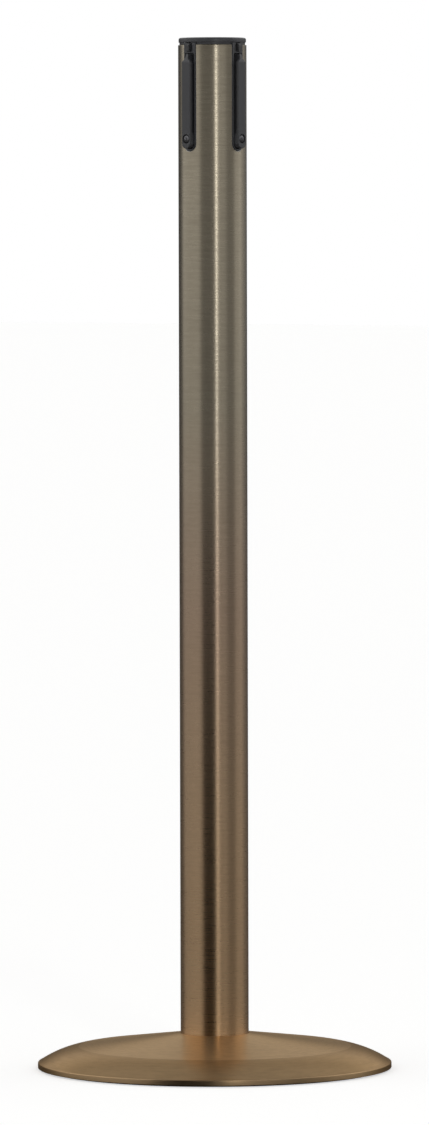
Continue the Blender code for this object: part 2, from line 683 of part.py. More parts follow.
def make_receiver_sets():
    """Receiver, latch, spring and screw on each of the four sides."""
    designs = {
        "receiver": (receiver_mesh(), black_moulding()),
        "latch": (latch_mesh(), black_moulding()),
        "latch_spring": (spring_mesh(), zinc_steel()),
        "receiver_screw": (screw_mesh(), black_steel()),
    }
    for side, angle in SIDES.items():
        for piece, (mesh, finish) in designs.items():
            obj = place(f"{piece}_{side}", mesh, finish)
            obj.rotation_euler = (0, 0, math.radians(angle))


def main():
    for obj in list(bpy.data.objects):
        bpy.data.objects.remove(obj)
    make_floor_ring()
    make_base_weight()
    make_base_cover()
    make_base_fastening()
    make_foot_plug()
    make_post_tube()
    make_head_core()
    make_top_cap()
    make_receiver_sets()


main()
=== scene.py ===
# %% [markdown]
# # Belt barrier post in satin bronze
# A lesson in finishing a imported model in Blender. The frame holds every part at its real size and
# place. These cells add the fine shapes, the brushed metal and the moulded plastic around it.

# %% Load the frame
import json
import math

import bmesh
import bpy
from mathutils import Matrix, Vector

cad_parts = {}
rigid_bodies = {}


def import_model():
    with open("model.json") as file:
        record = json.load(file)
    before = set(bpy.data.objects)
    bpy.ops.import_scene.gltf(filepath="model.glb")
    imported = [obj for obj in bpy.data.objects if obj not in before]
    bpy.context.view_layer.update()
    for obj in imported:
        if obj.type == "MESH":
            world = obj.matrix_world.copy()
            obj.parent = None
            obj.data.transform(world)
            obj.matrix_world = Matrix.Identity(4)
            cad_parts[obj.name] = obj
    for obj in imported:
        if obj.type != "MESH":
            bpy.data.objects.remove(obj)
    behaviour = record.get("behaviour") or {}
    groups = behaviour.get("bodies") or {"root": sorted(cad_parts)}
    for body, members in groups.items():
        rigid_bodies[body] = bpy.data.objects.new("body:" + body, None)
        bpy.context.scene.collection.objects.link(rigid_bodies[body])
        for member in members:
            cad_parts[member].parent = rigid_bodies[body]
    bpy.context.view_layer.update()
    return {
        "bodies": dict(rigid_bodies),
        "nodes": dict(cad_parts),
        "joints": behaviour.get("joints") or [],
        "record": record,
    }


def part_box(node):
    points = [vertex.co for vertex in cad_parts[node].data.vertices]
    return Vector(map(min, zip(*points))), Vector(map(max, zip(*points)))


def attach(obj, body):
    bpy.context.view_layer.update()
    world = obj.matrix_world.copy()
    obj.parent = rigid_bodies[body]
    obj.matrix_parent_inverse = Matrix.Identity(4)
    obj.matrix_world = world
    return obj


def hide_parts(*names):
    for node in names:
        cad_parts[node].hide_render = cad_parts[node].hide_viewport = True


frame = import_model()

MM = 0.001

# %% [markdown]
# ## Main sizes
# Every size is read from the frame's boxes, so a piece made here sits where its part sits. Only
# sizes too fine for the frame, such as the break on an edge, are given as numbers.

# %% Main sizes
def node_box(name):
    low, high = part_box(name)
    return Vector(low), Vector(high)


TUBE_LOW, TUBE_HIGH = node_box("post_tube")
COVER_LOW, COVER_HIGH = node_box("base_cover")
CAP_LOW, CAP_HIGH = node_box("top_cap")
RECEIVER_LOW, RECEIVER_HIGH = node_box("receiver_right")
LATCH_LOW, LATCH_HIGH = node_box("latch_right")
SCREW_LOW, SCREW_HIGH = node_box("receiver_screw_right")

FIT_GAP = 0.3 * MM
TUBE_RADIUS = TUBE_HIGH.x
TUBE_WALL = 1.6 * MM
POST_TOP = CAP_HIGH.z
SIDES = {"front": -90, "right": 0, "back": 90, "left": 180}
print("tube radius", round(TUBE_RADIUS / MM, 2), "post top", round(POST_TOP / MM, 1))

# %% [markdown]
# ## Camera
# A tall thin thing is best seen through a long lens from far away, so that its sides stay
# parallel. The camera stands a little below the top of the post and looks at its middle, which
# shows the base from above and the cap edge-on.

# %% Camera
def into_scene(name, data):
    """A new object, linked into the scene."""
    made = bpy.data.objects.new(name, data)
    bpy.context.scene.collection.objects.link(made)
    return made


IMAGE_HEIGHT = 1125
FOCAL_LENGTH = 7914
CAMERA_SIDE = 41.8
CAMERA_DISTANCE = 7.36
CAMERA_HEIGHT = 0.79
CAMERA_AIM = Vector((0.0, 0.0, 0.4726))
CAMERA_AIM_SIDE = 0.0009
CAMERA_ROLL = 0.14
SENSOR = 36.0
LENS = FOCAL_LENGTH / IMAGE_HEIGHT * SENSOR
FAR_CLIP = 100


def camera_axes(side):
    """Directions out of the post towards the camera, and to the camera's right, on the floor."""
    turn = math.radians(side)
    return Vector((math.sin(turn), -math.cos(turn), 0)), Vector((math.cos(turn), math.sin(turn), 0))


def add_camera():
    towards, right = camera_axes(CAMERA_SIDE)
    camera = into_scene("camera", bpy.data.cameras.new("camera"))
    camera.data.sensor_width = SENSOR
    camera.data.lens = LENS
    camera.data.clip_end = FAR_CLIP
    camera.location = towards * CAMERA_DISTANCE + Vector((0, 0, CAMERA_HEIGHT))
    aim = CAMERA_AIM + right * CAMERA_AIM_SIDE
    look = (aim - camera.location).to_track_quat("-Z", "Y").to_matrix().to_4x4()
    camera.matrix_world = (
        Matrix.Translation(camera.location) @ look @ Matrix.Rotation(math.radians(-CAMERA_ROLL), 4, "Z")
    )
    bpy.context.scene.camera = camera
    return camera


CAMERA = add_camera()
print("lens", round(CAMERA.data.lens, 1), "mm")

# %% [markdown]
# ## Shader expressions
# A node tree is a long formula. The small class here lets it be written as one: a wire stands for a
# number, vector or colour, and adding or multiplying two wires adds the node that does it.

# %% Shader expressions
class Wire:
    """A number, vector or colour in a node tree, used in Python expressions."""

    def __init__(self, tree, socket):
        self.tree = tree
        self.socket = socket

    def math(self, operation, *others):
        return calculate(self.tree, operation, self, *others)

    def __add__(self, other):
        return calculate(self.tree, "ADD", self, other)

    def __radd__(self, other):
        return calculate(self.tree, "ADD", other, self)

    def __sub__(self, other):
        return calculate(self.tree, "SUBTRACT", self, other)

    def __rsub__(self, other):
        return calculate(self.tree, "SUBTRACT", other, self)

    def __mul__(self, other):
        return calculate(self.tree, "MULTIPLY", self, other)

    def __rmul__(self, other):
        return calculate(self.tree, "MULTIPLY", other, self)

    def __truediv__(self, other):
        return calculate(self.tree, "DIVIDE", self, other)

    def __rtruediv__(self, other):
        return calculate(self.tree, "DIVIDE", other, self)

    def clamped(self):
        return self.math("MAXIMUM", 0.0).math("MINIMUM", 1.0)

    def ramp(self, low, high):
        """0 below low, 1 above high, and smooth between them."""
        share = ((self - low) / (high - low)).clamped()
        return share * share * (3.0 - 2.0 * share)


print("wires can be added, subtracted, multiplied and divided")

# %% [markdown]
# ## Node helpers
# One function makes any node from its name, its settings and its inputs. The others are short names
# for the nodes that every finish here needs.

# %% Node helpers
def calculate(tree, operation, *values):
    """One Math node."""
    made = tree.nodes.new("ShaderNodeMath")
    made.operation = operation
    for socket, value in zip(made.inputs, values):
        plug(tree, socket, value)
    return Wire(tree, made.outputs[0])


def plug(tree, socket, value):
    """Link a wire to a socket, or set the socket's own value."""
    if isinstance(value, Wire):
        tree.links.new(value.socket, socket)
    else:
        socket.default_value = value


def make_node(tree, kind, settings=None, stops=None, out=0, **inputs):
    """Any node: its settings first, then a ramp's stops, then its inputs. Names use _ for spaces."""
    made = tree.nodes.new(kind)
    for name, value in (settings or {}).items():
        setattr(made, name, value)
    if stops:
        elements = made.color_ramp.elements
        while len(elements) < len(stops):
            elements.new(1.0)
        for element, (position, colour) in zip(elements, stops):
            element.position = position
            element.color = colour
    for name, value in inputs.items():
        key = int(name[1:]) if name[0] == "i" and name[1:].isdigit() else name.replace("_", " ")
        plug(tree, made.inputs[key], value)
    return Wire(tree, made.outputs[out])


def split_place(tree, vector):
    """The x, y and z wires of a vector."""
    node = tree.nodes.new("ShaderNodeSeparateXYZ")
    plug(tree, node.inputs[0], vector)
    return [Wire(tree, node.outputs[index]) for index in range(3)]


def join_place(tree, x, y, z):
    return make_node(tree, "ShaderNodeCombineXYZ", X=x, Y=y, Z=z)


def mix_colour(tree, share, first, second):
    """Blend two colours by a number from 0 to 1."""
    node = tree.nodes.new("ShaderNodeMix")
    node.data_type = "RGBA"
    plug(tree, node.inputs["Factor"], share)
    plug(tree, node.inputs[6], first)
    plug(tree, node.inputs[7], second)
    return Wire(tree, node.outputs[2])


def new_material(name):
    """A material with its Principled BSDF, its tree and its Object coordinates."""
    made = bpy.data.materials.new(name)
    made.use_nodes = True
    tree = made.node_tree
    shader = tree.nodes["Principled BSDF"]
    place = make_node(tree, "ShaderNodeTexCoord", out=3)
    return made, tree, shader, place


print("node helpers ready")

# %% [markdown]
# ## Floor
# A wide pale floor, so that the base has something to stand on and to mirror. It is nearly white,
# and it glows a little so that it meets the white background with no visible line.

# %% Floor
FLOOR_HALF = 40.0
FLOOR_SEEN = (0.80, 0.80, 0.79, 1.0)
FLOOR_MIRRORED = (0.16, 0.15, 0.14, 1.0)
FLOOR_GLOW = 0.57
FLOOR_ROUGHNESS = 0.9
WORLD_WHITE = (1.0, 1.0, 1.0, 1.0)


def floor_finish():
    """Matt white where it is looked at, and a darker floor in what the metal mirrors."""
    made, tree, shader, _ = new_material("floor_white")
    shader.inputs["Roughness"].default_value = FLOOR_ROUGHNESS
    shader.inputs["Specular IOR Level"].default_value = 0.0
    straight = make_node(tree, "ShaderNodeLightPath", out=0)
    plug(tree, shader.inputs["Base Color"], mix_colour(tree, straight, FLOOR_MIRRORED, FLOOR_SEEN))
    shader.inputs["Emission Color"].default_value = WORLD_WHITE
    plug(tree, shader.inputs["Emission Strength"], straight * FLOOR_GLOW)
    return made


def add_floor():
    mesh = bpy.data.meshes.new("floor")
    corners = [(x * FLOOR_HALF, y * FLOOR_HALF, 0) for x, y in ((-1, -1), (1, -1), (1, 1), (-1, 1))]
    mesh.from_pydata(corners, [], [(0, 1, 2, 3)])
    mesh.materials.append(floor_finish())
    into_scene("floor", mesh)


add_floor()
print("floor laid at height 0")

# %% [markdown]
# ## Studio light
# Brushed metal shows little but what stands round it, so the light is drawn as a white tent: broad
# soft panels on both sides, a dark gap where the camera looks in, and one thin strip beside the
# lens, which gives the bright line down the tube. The back wall is bright only low down, where the
# top of the base mirrors it. It is made in the world's nodes, from the direction a ray leaves in.

# %% Studio light
# Each panel: brightness, then its bearing, half width and soft edge in degrees from the camera.
PANELS = {
    "left": (0.52, -82, 32, 14),
    "right": (0.50, 96, 10, 14),
    "right tail": (0.20, 128, 20, 12),
    "right fill": (0.42, 28, 8, 20),
    "strip": (1.5, 12.5, 1.6, 3.2),
}
WALL_BASE = 0.37
WALL_TOP = (34, 62)
REAR_LOSS = 0.8
REAR_BEARINGS = (120, 142)
BACKDROP = 0.75
BACKDROP_BEARINGS = (95, 130)
BACKDROP_FOOT = (10, 18)
BACKDROP_TOP = (24, 34)
BACKDROP_TOP_LOSS = 0.84
SKY_SOFT = 0.34
SKY_TILTS = (15, 60)
FRONT_LOSS = 0.8
FRONT_BEARINGS = (20, 60)
FRONT_TILTS = (20, 34)


def panel(bearing, centre, half_width, edge):
    """1 inside a panel at a bearing in degrees from the camera, falling to 0 over its edge."""
    away = (bearing - centre).math("ABSOLUTE")
    return 1.0 - away.ramp(half_width, half_width + edge)


def dot_product(tree, first, second):
    dot = {"operation": "DOT_PRODUCT"}
    return make_node(tree, "ShaderNodeVectorMath", dot, out=1, i0=first, i1=second)


def add_studio_light():
    world = bpy.data.worlds.new("studio")
    bpy.context.scene.world = world
    world.use_nodes = True
    tree = world.node_tree
    background = tree.nodes["Background"]
    direction = make_node(tree, "ShaderNodeTexCoord", out=0)
    towards, right = camera_axes(CAMERA_SIDE)
    front = dot_product(tree, direction, towards)
    side = dot_product(tree, direction, right)
    height = split_place(tree, direction)[2]
    bearing = side.math("ARCTAN2", front) * math.degrees(1)
    tilt = height.math("ARCSINE") * math.degrees(1)

    round_bearing = bearing.math("ABSOLUTE")

    panels = sum(glow * panel(bearing, *place) for glow, *place in PANELS.values())
    base = WALL_BASE * (1.0 - REAR_LOSS * round_bearing.ramp(*REAR_BEARINGS))
    wall = (panels + base) * (1.0 - tilt.ramp(*WALL_TOP))
    back_wall = tilt.ramp(*BACKDROP_FOOT) * (1.0 - BACKDROP_TOP_LOSS * tilt.ramp(*BACKDROP_TOP))
    behind = BACKDROP * round_bearing.ramp(*BACKDROP_BEARINGS) * back_wall
    sky = SKY_SOFT * tilt.ramp(*SKY_TILTS) + behind
    overhead_front = (1.0 - round_bearing.ramp(*FRONT_BEARINGS)) * tilt.ramp(*FRONT_TILTS)
    level = (wall + sky) * (1.0 - FRONT_LOSS * overhead_front)
    straight = make_node(tree, "ShaderNodeLightPath", out=0)
    plug(tree, background.inputs["Color"], WORLD_WHITE)
    plug(tree, background.inputs["Strength"], straight + (1.0 - straight) * level)


add_studio_light()
bpy.context.scene.view_settings.view_transform = "Standard"
print("studio light set:", list(PANELS))

# %% [markdown]
# ## Cards
# Three cards in front of the post finish the light. A black flag darkens the left half of the foot
# of the tube, a narrow lamp brightens the line in its upper half, and a dark cloth on the floor
# gives the rim of the base its dark middle.

# %% Cards
FLAG_DISTANCE = 1.3
FLAG_BEARINGS = (-36, 3)
FLAG_HEIGHTS = (0.0, 0.55)
LAMP_DISTANCE = 1.6
LAMP_BEARINGS = (11.2, 13.8)
LAMP_HEIGHTS = (0.52, 1.5)
LAMP_GLOW = 6.0
CLOTH_DISTANCES = (0.172, 0.9)
CLOTH_BEARINGS = (-30, 32)
CLOTH_HEIGHT = 1 * MM
CARD_BLACK = (0.01, 0.01, 0.01, 1.0)


def add_card(name, distances, bearings, heights, glow=0.0):
    """A card between two bearings, mirrored by the metal. A dark one takes no light from the floor."""
    towards, right = camera_axes(CAMERA_SIDE)
    corners = []
    for edge, order in ((0, bearings), (1, bearings[::-1])):
        for bearing in order:
            turn = math.radians(bearing)
            place = (towards * math.cos(turn) + right * math.sin(turn)) * distances[edge]
            corners.append((place.x, place.y, heights[edge]))
    mesh = bpy.data.meshes.new(name)
    mesh.from_pydata(corners, [], [(0, 1, 2, 3)])
    made, tree, shader, _ = new_material(name)
    shader.inputs["Base Color"].default_value = CARD_BLACK
    shader.inputs["Specular IOR Level"].default_value = 0.0
    shader.inputs["Emission Color"].default_value = WORLD_WHITE
    shader.inputs["Emission Strength"].default_value = glow
    mesh.materials.append(made)
    card = into_scene(name, mesh)
    card.visible_camera = False
    card.visible_shadow = False
    card.visible_diffuse = glow > 0


add_card("black_flag", (FLAG_DISTANCE,) * 2, FLAG_BEARINGS, FLAG_HEIGHTS)
add_card("strip_lamp", (LAMP_DISTANCE,) * 2, LAMP_BEARINGS, LAMP_HEIGHTS, LAMP_GLOW)
add_card("dark_cloth", CLOTH_DISTANCES, CLOTH_BEARINGS, (CLOTH_HEIGHT,) * 2)
print("cards: black flag, strip lamp, dark cloth")

# %% [markdown]
# ## Outlines
# Turned and moulded pieces both start as a flat outline. These functions draw its arcs, round its
# corners and make the tongue shape that the slots and the receivers share.

# %% Outlines
def arc(centre, radius, start, end, steps):
    """Points on an arc, from one angle to another in degrees."""
    angles = [math.radians(start + (end - start) * step / steps) for step in range(steps + 1)]
    return [(centre[0] + radius * math.cos(a), centre[1] + radius * math.sin(a)) for a in angles]


def rounded(points, radii, steps=5):
    """A closed outline with its corners rounded. A radius of 0 keeps the corner."""
    result = []
    for index, (point, radius) in enumerate(zip(points, radii)):
        corner = Vector(point)
        before = (Vector(points[index - 1]) - corner).normalized()
        after = (Vector(points[(index + 1) % len(points)]) - corner).normalized()
        half = before.angle(after) / 2
        if radius == 0 or half > math.radians(89.5):
            result.append(tuple(corner))
            continue
        reach = radius / math.tan(half)
        centre = corner + (before + after).normalized() * radius / math.sin(half)
        first = corner + before * reach - centre
        last = corner + after * reach - centre
        sweep = first.angle_signed(last)
        for step in range(steps + 1):
            turn = Matrix.Rotation(-sweep * step / steps, 2)
            result.append(tuple(centre + turn @ first))
    return result


def tongue(half_width, bottom, top, steps=24):
    """A U outline: round at the bottom, square at the top."""
    points = arc((0, bottom + half_width), half_width, 180, 360, steps)
    return points + [(half_width, top), (-half_width, top)]


print("outline of 4 corners, rounded:", len(rounded([(0, 0), (1, 0), (1, 1), (0, 1)], [0.1] * 4)), "points")

# %% [markdown]
# ## Turning with Geometry Nodes
# Everything round here is made on a lathe: the tube, the spun base, the cap and the screw heads.
# One node tree does the turning. It lays a grid, reads each row's place from a point of the
# outline, and swings each column round the axis. A closed outline gives a closed solid.

# %% The lathe tree
WELD = 1e-6
DISH_SIDES = 256
TUBE_SIDES = 192
SCREW_SIDES = 48


def group_input(group, name, kind, default=None):
    socket = group.interface.new_socket(name, in_out="INPUT", socket_type=kind)
    if default is not None:
        socket.default_value = default
    return socket


def new_group(name):
    group = bpy.data.node_groups.new(name, "GeometryNodeTree")
    group.interface.new_socket("Geometry", in_out="OUTPUT", socket_type="NodeSocketGeometry")
    group_input(group, "Geometry", "NodeSocketGeometry")
    return group


def lathe_tree():
    """Turns the object's own outline of points (radius, 0, height) round the Z axis."""
    group = new_group("lathe")
    group_input(group, "Rows", "NodeSocketInt", 4)
    group_input(group, "Sides", "NodeSocketInt", 64)
    group_input(group, "Finish", "NodeSocketMaterial")
    source = group.nodes.new("NodeGroupInput")
    outline, rows, sides, finish = [Wire(group, source.outputs[index]) for index in range(4)]
    columns = sides + 1
    grid = make_node(group, "GeometryNodeMeshGrid", Vertices_X=rows + 1, Vertices_Y=columns)
    index = make_node(group, "GeometryNodeInputIndex")
    row = (index / columns).math("FLOOR")
    column = index - row * columns
    place = make_node(group, "GeometryNodeInputPosition")
    wrapped = row.math("MODULO", rows)
    vectors = {"data_type": "FLOAT_VECTOR"}
    sample = {"Geometry": outline, "Value": place, "Index": wrapped}
    point = make_node(group, "GeometryNodeSampleIndex", vectors, **sample)
    radius, _, height = split_place(group, point)
    angle = column * (2 * math.pi) / sides
    turned = join_place(group, radius * angle.math("COSINE"), radius * angle.math("SINE"), height)
    swung = make_node(group, "GeometryNodeSetPosition", Geometry=grid, Position=turned)
    welded = make_node(group, "GeometryNodeMergeByDistance", Geometry=swung, Distance=WELD)
    real = make_node(group, "GeometryNodeRealizeInstances", Geometry=welded)
    done = make_node(group, "GeometryNodeSetMaterial", Geometry=real, Material=finish)
    sink = group.nodes.new("NodeGroupOutput")
    group.links.new(done.socket, sink.inputs[0])
    return group


def as_evaluated(obj):
    """A plain mesh of an object with its modifiers."""
    bpy.context.view_layer.update()
    return bpy.data.meshes.new_from_object(obj.evaluated_get(bpy.context.evaluated_depsgraph_get()))


def run_tree(mesh, group, name, inputs):
    """Run a node tree on a mesh and give back the plain mesh that it makes."""
    obj = into_scene(name, mesh)
    modifier = obj.modifiers.new("nodes", "NODES")
    modifier.node_group = group
    for item in group.interface.items_tree:
        if item.item_type == "SOCKET" and item.in_out == "INPUT" and item.name in inputs:
            modifier[item.identifier] = inputs[item.name]
    result = as_evaluated(obj)
    obj.modifiers.remove(modifier)
    bpy.data.objects.remove(obj)
    result.name = name
    return result


LATHE = lathe_tree()
print("lathe ready:", [item.name for item in LATHE.interface.items_tree])

# %% [markdown]
# ## Finished pieces
# A mesh from the lathe is welded, its faces are turned outwards, and its sharp edges are marked.
# Meshes can then be joined or cut. Each finished piece takes the place of its parts in the frame.

# %% Finished pieces
def outward(mesh):
    """Weld a mesh and turn its faces outwards."""
    bm = bmesh.new()
    bm.from_mesh(mesh)
    bmesh.ops.remove_doubles(bm, verts=bm.verts, dist=WELD)
    bmesh.ops.dissolve_degenerate(bm, edges=bm.edges, dist=WELD)
    bmesh.ops.recalc_face_normals(bm, faces=bm.faces)
    bm.to_mesh(mesh)
    bm.free()
    return mesh


def smooth(mesh, angle=32):
    mesh.shade_smooth()
    mesh.set_sharp_from_angle(angle=math.radians(angle))
    return mesh


def turned(name, outline, sides, finish):
    """A closed (radius, height) outline, turned on the lathe."""
    mesh = bpy.data.meshes.new(name)
    mesh.from_pydata([(radius, 0, height) for radius, height in outline], [], [])
    inputs = {"Rows": len(outline), "Sides": sides, "Finish": finish}
    return smooth(outward(run_tree(mesh, LATHE, name, inputs)))


def shaped(mesh, steps):
    """Join or cut a mesh with others. Each step is (operation, mesh)."""
    body = into_scene("body", mesh)
    tools = []
    for operation, tool_mesh in steps:
        tool = into_scene("tool", tool_mesh)
        modifier = body.modifiers.new("shape", "BOOLEAN")
        modifier.operation = operation
        modifier.solver = "EXACT"
        modifier.object = tool
        tools.append(tool)
    result = as_evaluated(body)
    for made in tools + [body]:
        bpy.data.objects.remove(made)
    return result


def carved(mesh, cutters):
    return shaped(mesh, [("DIFFERENCE", cutter) for cutter in cutters])


def keep(name, mesh, slot, body, *nodes):
    """Put a finished piece in the scene, in place of its nodes, on its body."""
    obj = into_scene(name, mesh)
    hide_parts(*nodes)
    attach(obj, body)
    print(name, len(mesh.polygons), "faces")


print("pieces are welded within", WELD, "m")

# %% [markdown]
# ## Satin bronze
# The tube and the base are brushed while they turn, so the scratches run round them. A scratch is
# long and very thin, so the noise is stretched: slow along the scratch, fast across it. Scratches
# that all run one way also spread light across themselves, which is what Anisotropic does: it draws
# a lamp out into a line up the tube. The tube's colour is painted warmer and lighter towards the
# floor, a painted reflection. The base's upper face is painted lighter and its slope darker, painted
# light and painted shade of its two facets.

# %% Satin bronze
# The tube's colour by height: painted warmer and lighter towards the floor, a painted reflection.
BRONZE_AND_PAINTED_REFLECTION_STOPS = [
    (0.00, (0.650, 0.430, 0.240, 1.0)),
    (0.25, (0.590, 0.412, 0.256, 1.0)),
    (0.43, (0.515, 0.376, 0.268, 1.0)),
    (0.62, (0.460, 0.402, 0.302, 1.0)),
    (0.96, (0.430, 0.380, 0.286, 1.0)),
]
# The base's upper face is painted lighter and its slope darker: painted light and painted shade of the two
# facets.
DISH_UPPER_PAINTED_LIGHT = (0.680, 0.490, 0.290, 1.0)
DISH_SLOPE_PAINTED_SHADE = (0.520, 0.355, 0.195, 1.0)
DISH_EDGE_TINT = (0.72, 0.62, 0.50, 1.0)
SOOT = (0.16, 0.12, 0.08, 1.0)
BRONZE_ROUGHNESS = 0.30
BRONZE_STRETCH = 0.75
DISH_ROUGHNESS = 0.36
DISH_STRETCH = 0.60
QUARTER_TURN = 0.25
LACQUER = 0.22
DISH_LACQUER = 0.05
LACQUER_ROUGHNESS = 0.13
SCRATCH_FINE = 2300.0
SCRATCH_BROAD = 430.0
SCRATCH_RUN = 26.0
DISH_STROKES = 5.0
PATCH_ACROSS, PATCH_ALONG = 14.0, 9.0
SCRATCH_DEPTH = 0.02 * MM
# At the crease, the painted light of the upper face gives way to the painted shade of the slope.
CREASE_PAINTED_SHADE_BLEND = (0.1262, 0.1278)


def noise(tree, vector, detail=3.0, roughness=0.6):
    settings = {"Scale": 1.0, "Detail": detail, "Roughness": roughness}
    return make_node(tree, "ShaderNodeTexNoise", Vector=vector, **settings)


def bump(tree, height, strength, distance):
    return make_node(tree, "ShaderNodeBump", Height=height, Strength=strength, Distance=distance)


def brushed_bronze(name, dish):
    """Satin bronze with scratches that run round the Z axis. dish is for the flat base."""
    made, tree, shader, place = new_material(name)
    x, y, z = split_place(tree, place)
    if dish:
        radius = (x * x + y * y).math("SQRT")
        along_x, along_y = x / radius * DISH_STROKES, y / radius * DISH_STROKES
        across = radius + z
    else:
        along_x, along_y = x * SCRATCH_RUN, y * SCRATCH_RUN
        across = z
    fine = noise(tree, join_place(tree, along_x, along_y, across * SCRATCH_FINE), 2.0)
    broad = noise(tree, join_place(tree, along_x * 2.0, along_y * 2.0, across * SCRATCH_BROAD), 4.0)
    patch = noise(tree, join_place(tree, x * PATCH_ACROSS, y * PATCH_ACROSS, z * PATCH_ALONG), 2.0)
    if dish:
        # Painted light and shade: the upper face lighter, the slope beyond the crease darker.
        colour = mix_colour(tree, radius.ramp(*CREASE_PAINTED_SHADE_BLEND), DISH_UPPER_PAINTED_LIGHT, DISH_SLOPE_PAINTED_SHADE)
    else:
        # Painted reflection: the colour turns warmer and lighter towards the floor.
        colour = make_node(tree, "ShaderNodeValToRGB", stops=BRONZE_AND_PAINTED_REFLECTION_STOPS, Fac=z)
    streak = ((broad - 0.5) * 1.1 + (fine - 0.5) * 0.7 + (patch - 0.5) * 0.4 + 0.10).clamped() * 0.45
    plug(tree, shader.inputs["Base Color"], mix_colour(tree, streak, colour, SOOT))
    rough = DISH_ROUGHNESS if dish else BRONZE_ROUGHNESS
    rough = rough + (fine - 0.5) * 0.16 + (broad - 0.5) * 0.14 + (patch - 0.5) * 0.05
    plug(tree, shader.inputs["Roughness"], rough)
    shader.inputs["Metallic"].default_value = 1.0
    shader.inputs["Anisotropic"].default_value = DISH_STRETCH if dish else BRONZE_STRETCH
    shader.inputs["Anisotropic Rotation"].default_value = QUARTER_TURN
    shader.inputs["Coat Weight"].default_value = DISH_LACQUER if dish else LACQUER
    shader.inputs["Coat Roughness"].default_value = LACQUER_ROUGHNESS
    if dish:
        shader.inputs["Specular Tint"].default_value = DISH_EDGE_TINT
    plug(tree, shader.inputs["Normal"], bump(tree, fine + broad * 1.5, 0.20, SCRATCH_DEPTH))
    return made


TUBE_BRONZE = brushed_bronze("satin_bronze_tube", False)
DISH_BRONZE = brushed_bronze("satin_bronze_dish", True)
print("bronze ready, roughness about", BRONZE_ROUGHNESS)

# %% [markdown]
# ## Moulded plastic, steel, iron and rubber
# The black parts are moulded in a tool with a fine spark-eroded texture. It is a bump, because its
# grains are smaller than a tenth of a millimetre deep. The metals under the base each get the mark
# of how they were made: plating, sand casting, oil blacking.

# %% The other finishes
SPARK_GRAIN = 3200.0
SPARK_DEPTH = 0.03 * MM
FLOW_ACROSS, FLOW_ALONG = 160.0, 34.0
DUST = 300.0
RUBBER_DEPTH = 0.05 * MM
RUBBER_DARK, RUBBER_DUSTY = (0.018, 0.018, 0.018, 1.0), (0.050, 0.048, 0.045, 1.0)


def moulded_black(name, colour, roughness):
    """Black moulding with a fine spark texture and faint flow marks along its length."""
    made, tree, shader, place = new_material(name)
    x, y, z = split_place(tree, place)
    grain = noise(tree, join_place(tree, x * SPARK_GRAIN, y * SPARK_GRAIN, z * SPARK_GRAIN), 2.0)
    flow = noise(tree, join_place(tree, x * FLOW_ACROSS, y * FLOW_ACROSS, z * FLOW_ALONG), 3.0)
    light = [min(1.0, channel * 1.7) for channel in colour[:3]] + [1.0]
    plug(tree, shader.inputs["Base Color"], mix_colour(tree, flow * 0.7 + grain * 0.3, colour, light))
    plug(tree, shader.inputs["Roughness"], roughness + (grain - 0.5) * 0.18 + (flow - 0.5) * 0.16)
    plug(tree, shader.inputs["Normal"], bump(tree, grain, 0.35, SPARK_DEPTH))
    return made


def mottled_metal(name, colour, roughness, mottle, scale, grain_depth):
    """Metal with soft patches: plating, casting or blacking, by the size and depth of its grain."""
    made, tree, shader, place = new_material(name)
    x, y, z = split_place(tree, place)
    patches = noise(tree, join_place(tree, x * scale, y * scale, z * scale), 4.0)
    grain = noise(tree, join_place(tree, x * scale * 6, y * scale * 6, z * scale * 6), 3.0)
    dark = [channel * mottle for channel in colour[:3]] + [1.0]
    plug(tree, shader.inputs["Base Color"], mix_colour(tree, patches, colour, dark))
    plug(tree, shader.inputs["Roughness"], roughness + (patches - 0.5) * 0.2)
    shader.inputs["Metallic"].default_value = 1.0
    plug(tree, shader.inputs["Normal"], bump(tree, grain, 0.5, grain_depth))
    return made


def black_rubber():
    made, tree, shader, place = new_material("floor_rubber")
    x, y, z = split_place(tree, place)
    dust = noise(tree, join_place(tree, x * DUST, y * DUST, z * DUST), 4.0)
    plug(tree, shader.inputs["Base Color"], mix_colour(tree, dust, RUBBER_DARK, RUBBER_DUSTY))
    plug(tree, shader.inputs["Roughness"], 0.72 + dust * 0.2)
    plug(tree, shader.inputs["Normal"], bump(tree, dust, 0.4, RUBBER_DEPTH))
    return made


MOULDED = moulded_black("moulded_black", (0.060, 0.061, 0.066, 1.0), 0.40)
LATCH_BLACK = moulded_black("latch_black", (0.050, 0.050, 0.052, 1.0), 0.38)
SCREW_BLACK = mottled_metal("screw_black", (0.20, 0.20, 0.21, 1.0), 0.36, 0.55, 900.0, 0.01 * MM)
ZINC = mottled_metal("zinc_plate", (0.62, 0.62, 0.58, 1.0), 0.34, 0.75, 260.0, 0.01 * MM)
CAST_IRON = mottled_metal("cast_iron", (0.10, 0.10, 0.10, 1.0), 0.70, 0.5, 120.0, 0.15 * MM)
RUBBER = black_rubber()
print("finishes:", [made.name for made in bpy.data.materials])

# %% [markdown]
# ## Base cover
# The cover is a disc of sheet metal pressed over a turning former. Its outline is a gentle cone, a
# crease, a slightly crowned slope, and a short rim rolled under at the floor. The lathe tree turns
# it whole, both faces at once, so the sheet has its real thickness at the rim.

# %% Base cover
SHEET = 1.2 * MM
CREASE_RADIUS = COVER_HIGH.x - 38.0 * MM
CREASE_HEIGHT = 21.2 * MM
SLOPE_CROWN = 2.1 * MM
RIM_HEIGHT = 5.8 * MM
RIM_ROUND = 1.0 * MM
LOWER_EDGE = 0.25 * MM
INNER_LEAN = 0.35
SLOPE_STEPS = 12
CREASE_SHARE = 0.008


